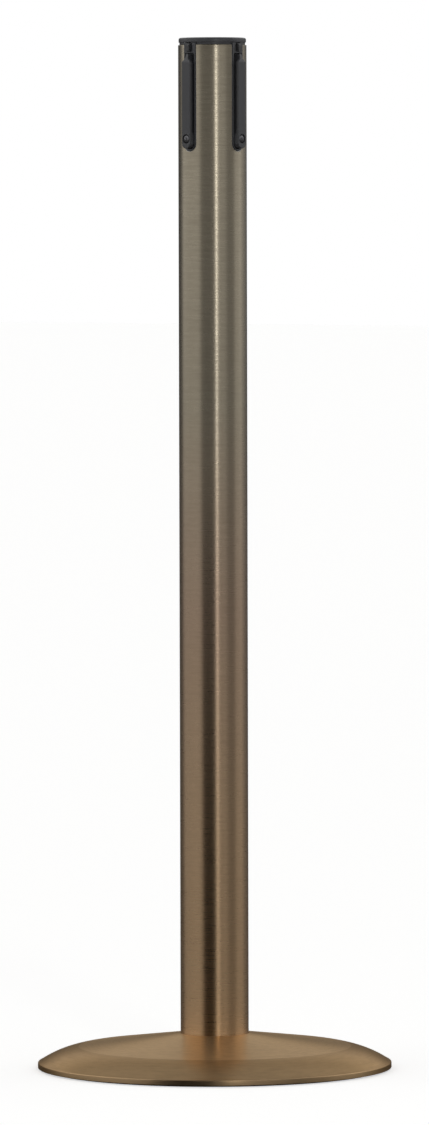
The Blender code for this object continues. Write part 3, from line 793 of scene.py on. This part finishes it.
def cover_outline():
    """The cover's outer face from neck to lower edge, then its inner face back to the neck."""
    rim = COVER_HIGH.x
    crease = Vector((CREASE_RADIUS, CREASE_HEIGHT))
    shoulder = Vector((rim - RIM_ROUND, RIM_HEIGHT + RIM_ROUND))
    along = shoulder - crease
    outwards = Vector((-along.y, along.x)).normalized()
    outer = [Vector((TUBE_RADIUS + FIT_GAP, COVER_HIGH.z))]
    cone = crease - outer[0]
    outer += [outer[0] + cone * share for share in (0.004, 0.33, 0.66, 0.996)]
    for share in [CREASE_SHARE] + [step / SLOPE_STEPS for step in range(1, SLOPE_STEPS + 1)]:
        outer.append(crease + along * share + outwards * SLOPE_CROWN * 4 * share * (1 - share))
    outer += [Vector(p) for p in arc((rim - RIM_ROUND, RIM_HEIGHT), RIM_ROUND, 60, 0, 5)]
    outer.append(Vector((rim, COVER_LOW.z + LOWER_EDGE)))
    outer.append(Vector((rim - LOWER_EDGE, COVER_LOW.z)))
    inner = [point + Vector((-SHEET * INNER_LEAN, -SHEET)) for point in outer[:-2]]
    inner[0] = Vector((TUBE_RADIUS + FIT_GAP, COVER_HIGH.z - SHEET))
    inner = [point for point in inner if point.x < rim - SHEET]
    inner.append(Vector((rim - SHEET, RIM_HEIGHT - SHEET)))
    inner.append(Vector((rim - SHEET, COVER_LOW.z)))
    return [tuple(point) for point in outer + inner[::-1]]


COVER = turned("base_cover_spun", cover_outline(), DISH_SIDES, DISH_BRONZE)
keep("base_cover_spun", COVER, "satin_bronze", "post", "base_cover")

# %% [markdown]
# ## Post tube
# The tube is turned on the same lathe, then four slots are cut. Each cutter is bent round the tube,
# with a flare at its outer end, so the slots get the small even break that a deburring brush leaves.
# Cutting can disturb the shading of a round wall, so the wall's normals are set to point straight
# out from the axis.

# %% Post tube
SLOT_GAP = 0.4 * MM
EDGE_BREAK = 0.3 * MM
FINE_BREAK = 0.2 * MM
WALL_TOLERANCE = 0.1 * MM
WALL_FACING = 0.98
RECEIVER_HALF_WIDTH = 6.9 * MM
FLANGE_OVERLAP = 2.0 * MM
RECEIVER_BOTTOM = RECEIVER_LOW.z + FLANGE_OVERLAP


def bent(points, radius, widen):
    """A U outline of (sideways, height) points, wrapped round the axis at a radius."""
    middle = points[0][1]
    wrapped = []
    for side, height in points:
        grown = side * (1 + widen / abs(points[0][0]))
        drop = (height - middle) * (1 + widen / abs(points[0][0])) if height < middle else height - middle
        angle = grown / TUBE_RADIUS
        wrapped.append((radius * math.cos(angle), radius * math.sin(angle), middle + drop))
    return wrapped


def slot_cutter(angle):
    """A flared cutter for one slot, turned to its side."""
    half = RECEIVER_HALF_WIDTH + SLOT_GAP
    outline = tongue(half, RECEIVER_BOTTOM - SLOT_GAP, TUBE_HIGH.z + 4 * MM)
    layers = [
        bent(outline, TUBE_RADIUS - 4 * TUBE_WALL, 0),
        bent(outline, TUBE_RADIUS - EDGE_BREAK, 0),
        bent(outline, TUBE_RADIUS + 2 * EDGE_BREAK, 3 * EDGE_BREAK),
        bent(outline, TUBE_RADIUS + 4 * TUBE_WALL, 3 * EDGE_BREAK),
    ]
    bm = bmesh.new()
    rings = [[bm.verts.new(point) for point in layer] for layer in layers]
    for ring, after in zip(rings, rings[1:]):
        for index in range(len(ring)):
            other = (index + 1) % len(ring)
            bm.faces.new((ring[index], ring[other], after[other], after[index]))
    caps = [bm.faces.new(rings[0]), bm.faces.new(rings[-1])]
    bmesh.ops.triangulate(bm, faces=caps)
    bmesh.ops.recalc_face_normals(bm, faces=bm.faces)
    bm.transform(Matrix.Rotation(math.radians(angle), 4, "Z"))
    mesh = bpy.data.meshes.new("slot_cutter")
    bm.to_mesh(mesh)
    bm.free()
    return mesh


def round_wall_normals(mesh, radius):
    """Make the shading of the wall at a radius perfectly round."""
    normals = [Vector((0, 0, 0))] * len(mesh.loops)
    for face in mesh.polygons:
        flat = Vector((face.center.x, face.center.y, 0))
        if abs(flat.length - radius) > WALL_TOLERANCE or face.normal.dot(flat.normalized()) < WALL_FACING:
            continue
        for loop in face.loop_indices:
            place = mesh.vertices[mesh.loops[loop].vertex_index].co
            normals[loop] = Vector((place.x, place.y, 0)).normalized()
    mesh.normals_split_custom_set(normals)
    return mesh


def make_tube():
    corners = [
        (TUBE_RADIUS - TUBE_WALL, TUBE_LOW.z),
        (TUBE_RADIUS, TUBE_LOW.z),
        (TUBE_RADIUS, TUBE_HIGH.z),
        (TUBE_RADIUS - TUBE_WALL, TUBE_HIGH.z),
    ]
    outline = rounded(corners, [0, FINE_BREAK, EDGE_BREAK, FINE_BREAK], 3)
    blank = turned("post_tube_brushed", outline, TUBE_SIDES, TUBE_BRONZE)
    mesh = carved(blank, [slot_cutter(angle) for angle in SIDES.values()])
    return round_wall_normals(smooth(outward(mesh)), TUBE_RADIUS)


keep("post_tube_brushed", make_tube(), "satin_bronze", "post", "post_tube")

# %% [markdown]
# ## Top cap
# One moulded disc. Its edge is round, and a shallow step under the edge hides the sawn end of the
# tube in shade. Four notches let the heads of the receivers come up into it.

# %% Top cap
CAP_BASE = TUBE_HIGH.z + FIT_GAP
CAP_RADIUS = CAP_HIGH.x
REVEAL_HEIGHT = 2.2 * MM
REVEAL_DEPTH = 0.8 * MM
CAP_ROUND = 1.8 * MM
SPIGOT_RADIUS = 7.7 * MM
SPIGOT_BORE = 5.5 * MM
FACE_GROOVE_RADIUS = 24.0 * MM
FACE_GROOVE = 0.35 * MM
NOTCH_INNER = 23.7 * MM
NOTCH_OVERCUT = 1 * MM


def box_mesh(low, high):
    """A plain box, for cutting with."""
    corners = [(x, y, z) for x in (low[0], high[0]) for y in (low[1], high[1]) for z in (low[2], high[2])]
    faces = [(0, 1, 3, 2), (4, 6, 7, 5), (0, 4, 5, 1), (2, 3, 7, 6), (0, 2, 6, 4), (1, 5, 7, 3)]
    mesh = bpy.data.meshes.new("box")
    mesh.from_pydata(corners, [], faces)
    return outward(mesh)


def swung(mesh, angle):
    copy = mesh.copy()
    copy.transform(Matrix.Rotation(math.radians(angle), 4, "Z"))
    return copy


def make_cap():
    groove = FACE_GROOVE_RADIUS
    corners = [
        (0, CAP_BASE),
        (SPIGOT_BORE, CAP_BASE),
        (SPIGOT_BORE, CAP_LOW.z),
        (SPIGOT_RADIUS, CAP_LOW.z),
        (SPIGOT_RADIUS, CAP_BASE),
        (CAP_RADIUS - REVEAL_DEPTH, CAP_BASE),
        (CAP_RADIUS - REVEAL_DEPTH, CAP_BASE + REVEAL_HEIGHT),
        (CAP_RADIUS, CAP_BASE + REVEAL_HEIGHT),
        (CAP_RADIUS, POST_TOP),
        (groove + FACE_GROOVE, POST_TOP),
        (groove, POST_TOP - FACE_GROOVE),
        (groove - FACE_GROOVE, POST_TOP),
        (0, POST_TOP),
    ]
    spigot_breaks = [0, 0, 0.3 * MM, 0.5 * MM, 0]
    edge_breaks = [FINE_BREAK, 0, 0.25 * MM, CAP_ROUND]
    outline = rounded(corners, spigot_breaks + edge_breaks + [0] * 4, 8)
    blank = turned("top_cap_moulded", outline, TUBE_SIDES, MOULDED)
    half = RECEIVER_HALF_WIDTH + SLOT_GAP
    low = (NOTCH_INNER, -half, CAP_BASE - NOTCH_OVERCUT)
    notch = box_mesh(low, (CAP_RADIUS * 1.2, half, RECEIVER_HIGH.z + FIT_GAP))
    return smooth(outward(carved(blank, [swung(notch, angle) for angle in SIDES.values()])))


keep("top_cap_moulded", make_cap(), "black_moulding", "post", "top_cap")

# %% [markdown]
# ## Moulded shapes
# A moulding has no sharp outer edges, because its tool hasn't. Each flat shape here is a stack of
# the same outline, drawn in a little at both faces, so the round on its edge is real geometry. A
# cutter is a stack too, but it flares at the face, which puts the same round on the rim of a hole.

# %% Moulded shapes
EDGE = 0.35 * MM
EDGE_STEPS = 3
RIM_EDGE = 0.3 * MM
HOLE_OVERCUT = 3 * MM


def grown(outline, by):
    """A closed outline moved out by a distance, or in where the distance is negative."""
    points = [Vector(point) for point in outline]
    area = sum(a.x * b.y - b.x * a.y for a, b in zip(points, points[1:] + points[:1]))
    turn = 1 if area > 0 else -1
    result = []
    for index, point in enumerate(points):
        before = (point - points[index - 1]).normalized()
        after = (points[(index + 1) % len(points)] - point).normalized()
        first = Vector((before.y, -before.x)) * turn
        second = Vector((after.y, -after.x)) * turn
        reach = by / max(0.3, (1 + first.dot(second)) / 2)
        result.append(tuple(point + (first + second) / 2 * reach))
    return result


def stack(name, layers):
    """A closed body through layers of (depth along X, outline of sideways and height points)."""
    bm = bmesh.new()
    rings = [[bm.verts.new((depth, side, height)) for side, height in outline] for depth, outline in layers]
    for ring, after in zip(rings, rings[1:]):
        for index in range(len(ring)):
            other = (index + 1) % len(ring)
            bm.faces.new((ring[index], ring[other], after[other], after[index]))
    bm.faces.new(rings[0])
    bm.faces.new(rings[-1])
    bmesh.ops.recalc_face_normals(bm, faces=bm.faces)
    mesh = bpy.data.meshes.new(name)
    bm.to_mesh(mesh)
    bm.free()
    return mesh


def plate(outline, low, high, edge=EDGE):
    """A flat moulding with rounded edges on both faces."""
    angles = [math.pi / 2 * step / EDGE_STEPS for step in range(EDGE_STEPS + 1)]
    rise = [(edge * (1 - math.cos(angle)), edge * (1 - math.sin(angle))) for angle in angles]
    lower = [(low + depth, grown(outline, -inset)) for depth, inset in rise]
    upper = [(high - depth, grown(outline, -inset)) for depth, inset in rise[::-1]]
    return stack("plate", lower + upper)


def hole(outline, low, face, flare=EDGE):
    """A cutter for a hole whose rim is rounded where it meets a face."""
    layers = [(low, outline)]
    for step in range(EDGE_STEPS + 1):
        angle = math.pi / 2 * step / EDGE_STEPS
        layers.append((face - flare * (1 - math.sin(angle)), grown(outline, flare * (1 - math.cos(angle)))))
    layers.append((face + HOLE_OVERCUT, layers[-1][1]))
    return stack("hole", layers)


def box_outline(half, bottom, top):
    return [(-half, bottom), (half, bottom), (half, top), (-half, top)]


def weighted(mesh, name):
    """Smooth shading in which a large flat face stays flat beside its rounded edges."""
    obj = into_scene(name, smooth(outward(mesh)))
    modifier = obj.modifiers.new("weighted", "WEIGHTED_NORMAL")
    modifier.keep_sharp = True
    result = as_evaluated(obj)
    bpy.data.objects.remove(obj)
    return result


print("moulded edges rounded to", round(EDGE / MM, 2), "mm")

# %% [markdown]
# ## Copies round the post
# The four sides of the head are the same, so each moulding is made once and repeated. This node
# tree turns a copy to each side, starting from an angle that it is given.

# %% Copies round the post
def copies_tree():
    """Repeats the object's mesh round the Z axis, evenly spaced from a start angle."""
    group = new_group("copies_round_the_post")
    group_input(group, "Copies", "NodeSocketInt", 4)
    group_input(group, "Start Angle", "NodeSocketFloat", 0.0)
    group_input(group, "Finish", "NodeSocketMaterial")
    source = group.nodes.new("NodeGroupInput")
    shape, copies, start, finish = [Wire(group, source.outputs[index]) for index in range(4)]
    points = make_node(group, "GeometryNodePoints", Count=copies)
    index = make_node(group, "GeometryNodeInputIndex")
    angle = start + index * (2 * math.pi) / copies
    turn = make_node(group, "FunctionNodeEulerToRotation", Euler=join_place(group, 0.0, 0.0, angle))
    placed = make_node(group, "GeometryNodeInstanceOnPoints", Points=points, Instance=shape, Rotation=turn)
    real = make_node(group, "GeometryNodeRealizeInstances", Geometry=placed)
    done = make_node(group, "GeometryNodeSetMaterial", Geometry=real, Material=finish)
    sink = group.nodes.new("NodeGroupOutput")
    group.links.new(done.socket, sink.inputs[0])
    return group


COPIES = copies_tree()


def round_the_post(mesh, name, finish, copies=4, start=0):
    """A piece that faces +X, repeated round the post."""
    inputs = {"Copies": copies, "Start Angle": math.radians(start), "Finish": finish}
    return run_tree(mesh, COPIES, name, inputs)


print("copies tree ready")

# %% [markdown]
# ## Belt receivers
# Each receiver is one black moulding: a frame that fills a slot of the tube, a deep channel in it,
# and a T-shaped rail that stands out of the channel. A belt end slides down over the rail's pointed
# tip. The moulding is made once, facing +X, and the tree repeats it round the post.

# %% Receiver sizes
FRAME_FACE = TUBE_RADIUS
RECEIVER_BACK = FRAME_FACE - 7.45 * MM
FLANGE_HALF_WIDTH = RECEIVER_HALF_WIDTH + FLANGE_OVERLAP
FLANGE_FRONT = math.sqrt((TUBE_RADIUS - TUBE_WALL) ** 2 - FLANGE_HALF_WIDTH ** 2) - FIT_GAP
CHANNEL_RIM = 1.6 * MM
CHANNEL_HALF = RECEIVER_HALF_WIDTH - CHANNEL_RIM
CHANNEL_FLOOR = FRAME_FACE - 4.25 * MM
CHANNEL_BOTTOM = RECEIVER_BOTTOM + CHANNEL_RIM
LATCH_HALF_WIDTH = 1.45 * MM
WINDOW_BOTTOM = LATCH_LOW.z - FIT_GAP
WINDOW_HALF = LATCH_HALF_WIDTH + 1.3 * MM
WINDOW_FLOOR = FRAME_FACE - 2.25 * MM
CHANNEL_TOP = WINDOW_BOTTOM - 1.4 * MM
RAIL_HALF = CHANNEL_HALF - FIT_GAP
RAIL_BOTTOM = CHANNEL_BOTTOM + 0.6 * MM
RAIL_TOP = CHANNEL_TOP - 0.6 * MM
RAIL_FACE = RECEIVER_HIGH.x
RAIL_UNDERSIDE = RAIL_FACE - 2.8 * MM
RAIL_SHOULDER = RAIL_TOP - 7.6 * MM
RAIL_TIP_DROP = 2.2 * MM
NECK_HALF = 3.0 * MM
TIP_HALF = 1.1 * MM
BOSS_LENGTH = 14 * MM
SCREW_HEIGHT = (SCREW_LOW.z + SCREW_HIGH.z) / 2
SCREW_HEAD_RADIUS = (SCREW_HIGH.z - SCREW_LOW.z) / 2
SCREW_RADIUS = 2.0 * MM
SINK_RADIUS = SCREW_HEAD_RADIUS + 0.6 * MM
SCREW_SEAT = SCREW_HIGH.x - 2.2 * MM
ROOT_DEPTH = 1 * MM
FRAME_EDGE = 0.4 * MM
RAIL_EDGE = 0.45 * MM
WEB_OVERLAP = 4 * MM
print("rail from", round(RAIL_BOTTOM / MM, 1), "to", round(RAIL_TOP / MM, 1), "mm up")

# %% [markdown]
# ## The rail
# The rail's head is a flat tongue, round below and drawn in to a narrow tip above. The tip also
# slopes back, which leads the belt end on to it.

# %% The rail
SHOULDER_HALF = 1.7 * MM
SHOULDER_RISE = 3.4 * MM


def rail_outline():
    """Front of the rail: round at the bottom, necked down to a narrow tip at the top."""
    bottom = arc((0, RAIL_BOTTOM + RAIL_HALF), RAIL_HALF, 180, 360, 28)
    corners = [
        (RAIL_HALF, RAIL_SHOULDER),
        (SHOULDER_HALF, RAIL_SHOULDER + SHOULDER_RISE),
        (TIP_HALF, RAIL_TOP),
        (-TIP_HALF, RAIL_TOP),
        (-SHOULDER_HALF, RAIL_SHOULDER + SHOULDER_RISE),
        (-RAIL_HALF, RAIL_SHOULDER),
    ]
    breaks = [0.9 * MM, 1.2 * MM, 0.5 * MM, 0.5 * MM, 1.2 * MM, 0.9 * MM]
    loop = rounded(bottom[-1:] + corners + bottom[:1], [0, *breaks, 0], 4)
    return bottom[1:-1] + loop


def rail_head():
    """The head of the rail, with its tip sloped back as a lead-in for the belt end."""
    mesh = plate(rail_outline(), RAIL_UNDERSIDE, RAIL_FACE, RAIL_EDGE)
    bm = bmesh.new()
    bm.from_mesh(mesh)
    everything = bm.verts[:] + bm.edges[:] + bm.faces[:]
    bmesh.ops.bisect_plane(bm, geom=everything, plane_co=(0, 0, RAIL_SHOULDER), plane_no=(0, 0, 1))
    length = RAIL_TOP - RAIL_SHOULDER
    thickness = RAIL_FACE - RAIL_UNDERSIDE
    for vertex in bm.verts:
        share = max(0.0, (vertex.co.z - RAIL_SHOULDER) / length)
        forward = (vertex.co.x - RAIL_UNDERSIDE) / thickness
        vertex.co.x -= RAIL_TIP_DROP * share * forward
    bmesh.ops.triangulate(bm, faces=[face for face in bm.faces if len(face.verts) > 4])
    bm.to_mesh(mesh)
    bm.free()
    return mesh


print("rail outline:", len(rail_outline()), "points")

# %% [markdown]
# ## The receiver
# The frame and its hidden flange are joined first. The channel, the latch's window and its guide
# are cut next. The rail's neck, web and boss join it to the channel's floor, and the screw's
# counterbore and hole are cut last.

# %% The receiver
def make_receiver():
    """One receiver, facing +X."""
    frame_outline = tongue(RECEIVER_HALF_WIDTH, RECEIVER_BOTTOM, RECEIVER_HIGH.z)
    frame = plate(frame_outline, RECEIVER_BACK, FRAME_FACE, FRAME_EDGE)
    flange = plate(tongue(FLANGE_HALF_WIDTH, RECEIVER_LOW.z, TUBE_HIGH.z), RECEIVER_BACK, FLANGE_FRONT)
    channel_outline = tongue(CHANNEL_HALF, CHANNEL_BOTTOM, CHANNEL_TOP)
    channel = hole(rounded(channel_outline, [0] * 25 + [0.5 * MM] * 2, 4), CHANNEL_FLOOR, FRAME_FACE)
    window = hole(box_outline(WINDOW_HALF, WINDOW_BOTTOM, POST_TOP), WINDOW_FLOOR, FRAME_FACE, RIM_EDGE)
    guide_outline = box_outline(LATCH_HALF_WIDTH + FIT_GAP, WINDOW_BOTTOM, LATCH_HIGH.z + FIT_GAP)
    guide = hole(guide_outline, RECEIVER_BACK - ROOT_DEPTH, WINDOW_FLOOR, FINE_BREAK)
    root = CHANNEL_FLOOR - ROOT_DEPTH
    crown = RAIL_UNDERSIDE + ROOT_DEPTH
    neck = plate(box_outline(NECK_HALF, SCREW_HEIGHT, RAIL_SHOULDER), root, crown)
    web_outline = box_outline(TIP_HALF - 0.15 * MM, RAIL_SHOULDER - WEB_OVERLAP, RAIL_TOP - 0.4 * MM)
    web = plate(web_outline, root, RAIL_UNDERSIDE + 0.3 * MM, FINE_BREAK)
    boss_outline = tongue(RAIL_HALF - 0.2 * MM, RAIL_BOTTOM + 0.2 * MM, RAIL_BOTTOM + BOSS_LENGTH)
    boss = plate(boss_outline, root, crown)
    sink_seat = SCREW_SEAT - FIT_GAP
    sink = hole(arc((0, SCREW_HEIGHT), SINK_RADIUS, 0, 352.5, 47), sink_seat, RAIL_FACE, RIM_EDGE)
    shank_circle = arc((0, SCREW_HEIGHT), SCREW_RADIUS + FIT_GAP, 0, 345, 23)
    shank = hole(shank_circle, RECEIVER_BACK - ROOT_DEPTH, sink_seat, 0.1 * MM)
    steps = [("UNION", flange), ("DIFFERENCE", channel), ("DIFFERENCE", window), ("DIFFERENCE", guide)]
    steps += [("UNION", neck), ("UNION", web), ("UNION", boss), ("UNION", rail_head())]
    steps += [("DIFFERENCE", sink), ("DIFFERENCE", shank)]
    return weighted(shaped(frame, steps), "receiver")


RECEIVERS = round_the_post(make_receiver(), "receivers_moulded", MOULDED)
keep("receivers_moulded", RECEIVERS, "black_moulding", "post", *[f"receiver_{side}" for side in SIDES])

# %% [markdown]
# ## Latches
# A spring latch sits over each rail. Its nose is sloped, so a belt end that slides down pushes it
# in, and it springs out above the belt end again. Each one moves by itself, so each is its own
# piece on its own body.

# %% Latches
LATCH_FLANGE_HALF = LATCH_HIGH.y
LATCH_BACK = LATCH_LOW.x
LATCH_NOSE = LATCH_HIGH.x
STEM_TOP = TUBE_HIGH.z - FIT_GAP
LATCH_SLOPE = 1.6 * MM
TAB_BACK = RECEIVER_BACK + 2.3 * MM


def make_latch():
    """One latch, facing +X."""
    side = [
        (LATCH_BACK + FIT_GAP, LATCH_LOW.z),
        (LATCH_NOSE, LATCH_LOW.z),
        (LATCH_NOSE, LATCH_HIGH.z - LATCH_SLOPE),
        (LATCH_NOSE - LATCH_SLOPE, LATCH_HIGH.z),
        (TAB_BACK, LATCH_HIGH.z),
        (TAB_BACK, STEM_TOP),
        (LATCH_BACK + FIT_GAP, STEM_TOP),
    ]
    profile = rounded(side, [0, 0.5 * MM, 0.4 * MM, 0.4 * MM, 0.2 * MM, 0, 0], 4)
    tab = plate(profile, -LATCH_HALF_WIDTH, LATCH_HALF_WIDTH, RIM_EDGE)
    tab.transform(Matrix.Rotation(math.radians(-90), 4, "Z"))
    flange_outline = box_outline(LATCH_FLANGE_HALF, LATCH_LOW.z, STEM_TOP)
    flange = plate(flange_outline, LATCH_BACK, RECEIVER_BACK - FIT_GAP, FINE_BREAK)
    return weighted(shaped(tab, [("UNION", flange)]), "latch")


LATCH_MESH = make_latch()
for side, angle in SIDES.items():
    name = f"latch_moulded_{side}"
    mesh = round_the_post(LATCH_MESH.copy(), name, LATCH_BLACK, 1, angle)
    keep(name, mesh, "black_moulding", f"latch_{side}", f"latch_{side}")

# %% [markdown]
# ## Receiver screws
# A pan head screw with a cross recess holds each receiver. Its head and thread are turned on the
# lathe, then the cross is cut with two tapered blades, deeper in the middle as a real recess is.

# %% Receiver screws
SCREW_FACE = SCREW_HIGH.x
SCREW_END = SCREW_LOW.x
THREAD_PITCH = 1.4 * MM
THREAD_DEPTH = 0.4 * MM
TIP_LENGTH = 0.6 * MM
PLAIN_SHANK = 4 * MM
HEAD_BREAK = 0.1 * MM
HEAD_ROUND = 0.9 * MM
HEAD_CROWN = 0.25 * MM
RECESS_DEPTH = 1.3 * MM


def screw_outline():
    """Tip, thread crests and roots, then the crowned head."""
    points = [(0, SCREW_END)]
    count = int((SCREW_SEAT - SCREW_END - PLAIN_SHANK) / THREAD_PITCH)
    for turn in range(count):
        base = SCREW_END + TIP_LENGTH + turn * THREAD_PITCH
        growth = min(1.0, (turn + 1) / 3)
        points.append(((SCREW_RADIUS - THREAD_DEPTH) * growth, base))
        points.append((SCREW_RADIUS * growth, base + THREAD_PITCH / 2))
    points.append((SCREW_RADIUS - THREAD_DEPTH, base + THREAD_PITCH))
    points.append((SCREW_RADIUS - THREAD_DEPTH, SCREW_SEAT))
    points += [(SCREW_HEAD_RADIUS - HEAD_BREAK, SCREW_SEAT), (SCREW_HEAD_RADIUS, SCREW_SEAT + HEAD_BREAK)]
    crown_height = SCREW_FACE - HEAD_CROWN - HEAD_ROUND
    points += arc((SCREW_HEAD_RADIUS - HEAD_ROUND, crown_height), HEAD_ROUND, 0, 78, 7)
    points += [(SCREW_HEAD_RADIUS * 0.45, SCREW_FACE - 0.04 * MM), (0, SCREW_FACE)]
    return points


def blade(turn):
    """One tapered arm pair of the cross recess."""
    low, high = SCREW_FACE - RECESS_DEPTH, SCREW_FACE + 0.3 * MM
    deep = box_outline(0.9 * MM, SCREW_HEIGHT - 0.30 * MM, SCREW_HEIGHT + 0.30 * MM)
    wide = box_outline(2.15 * MM, SCREW_HEIGHT - 0.47 * MM, SCREW_HEIGHT + 0.47 * MM)
    mesh = stack("blade", [(low, deep), (high, wide)])
    middle = Matrix.Translation((0, 0, SCREW_HEIGHT))
    mesh.transform(middle @ Matrix.Rotation(math.radians(turn), 4, "X") @ middle.inverted())
    return mesh


def make_screw():
    mesh = turned("screw", screw_outline(), SCREW_SIDES, SCREW_BLACK)
    mesh.transform(Matrix.Rotation(math.radians(90), 4, "Y"))
    mesh.transform(Matrix.Translation((0, 0, SCREW_HEIGHT)))
    return smooth(outward(carved(mesh, [blade(0), blade(90)])))


SCREWS = round_the_post(make_screw(), "receiver_screws", SCREW_BLACK)
keep("receiver_screws", SCREWS, "black_steel", "post", *[f"receiver_screw_{side}" for side in SIDES])

# %% [markdown]
# ## Finishes on the parts inside
# The pieces inside the base and the head keep their own shape. Each gets the finish of its metal
# or moulding, because they show from below and when the post is taken apart.

# %% Finishes on the parts inside
INSIDE = {
    "floor_ring": RUBBER,
    "base_weight": CAST_IRON,
    "base_bolt": ZINC,
    "flat_washer": ZINC,
    "spring_washer": ZINC,
    "foot_plug": ZINC,
    "head_core": MOULDED,
    **{f"latch_spring_{side}": ZINC for side in SIDES},
}


def dress(name, finish):
    mesh = frame["nodes"][name].data
    mesh.materials.clear()
    mesh.materials.append(finish)


for name, finish in INSIDE.items():
    dress(name, finish)
print("dressed", len(INSIDE), "inner parts")
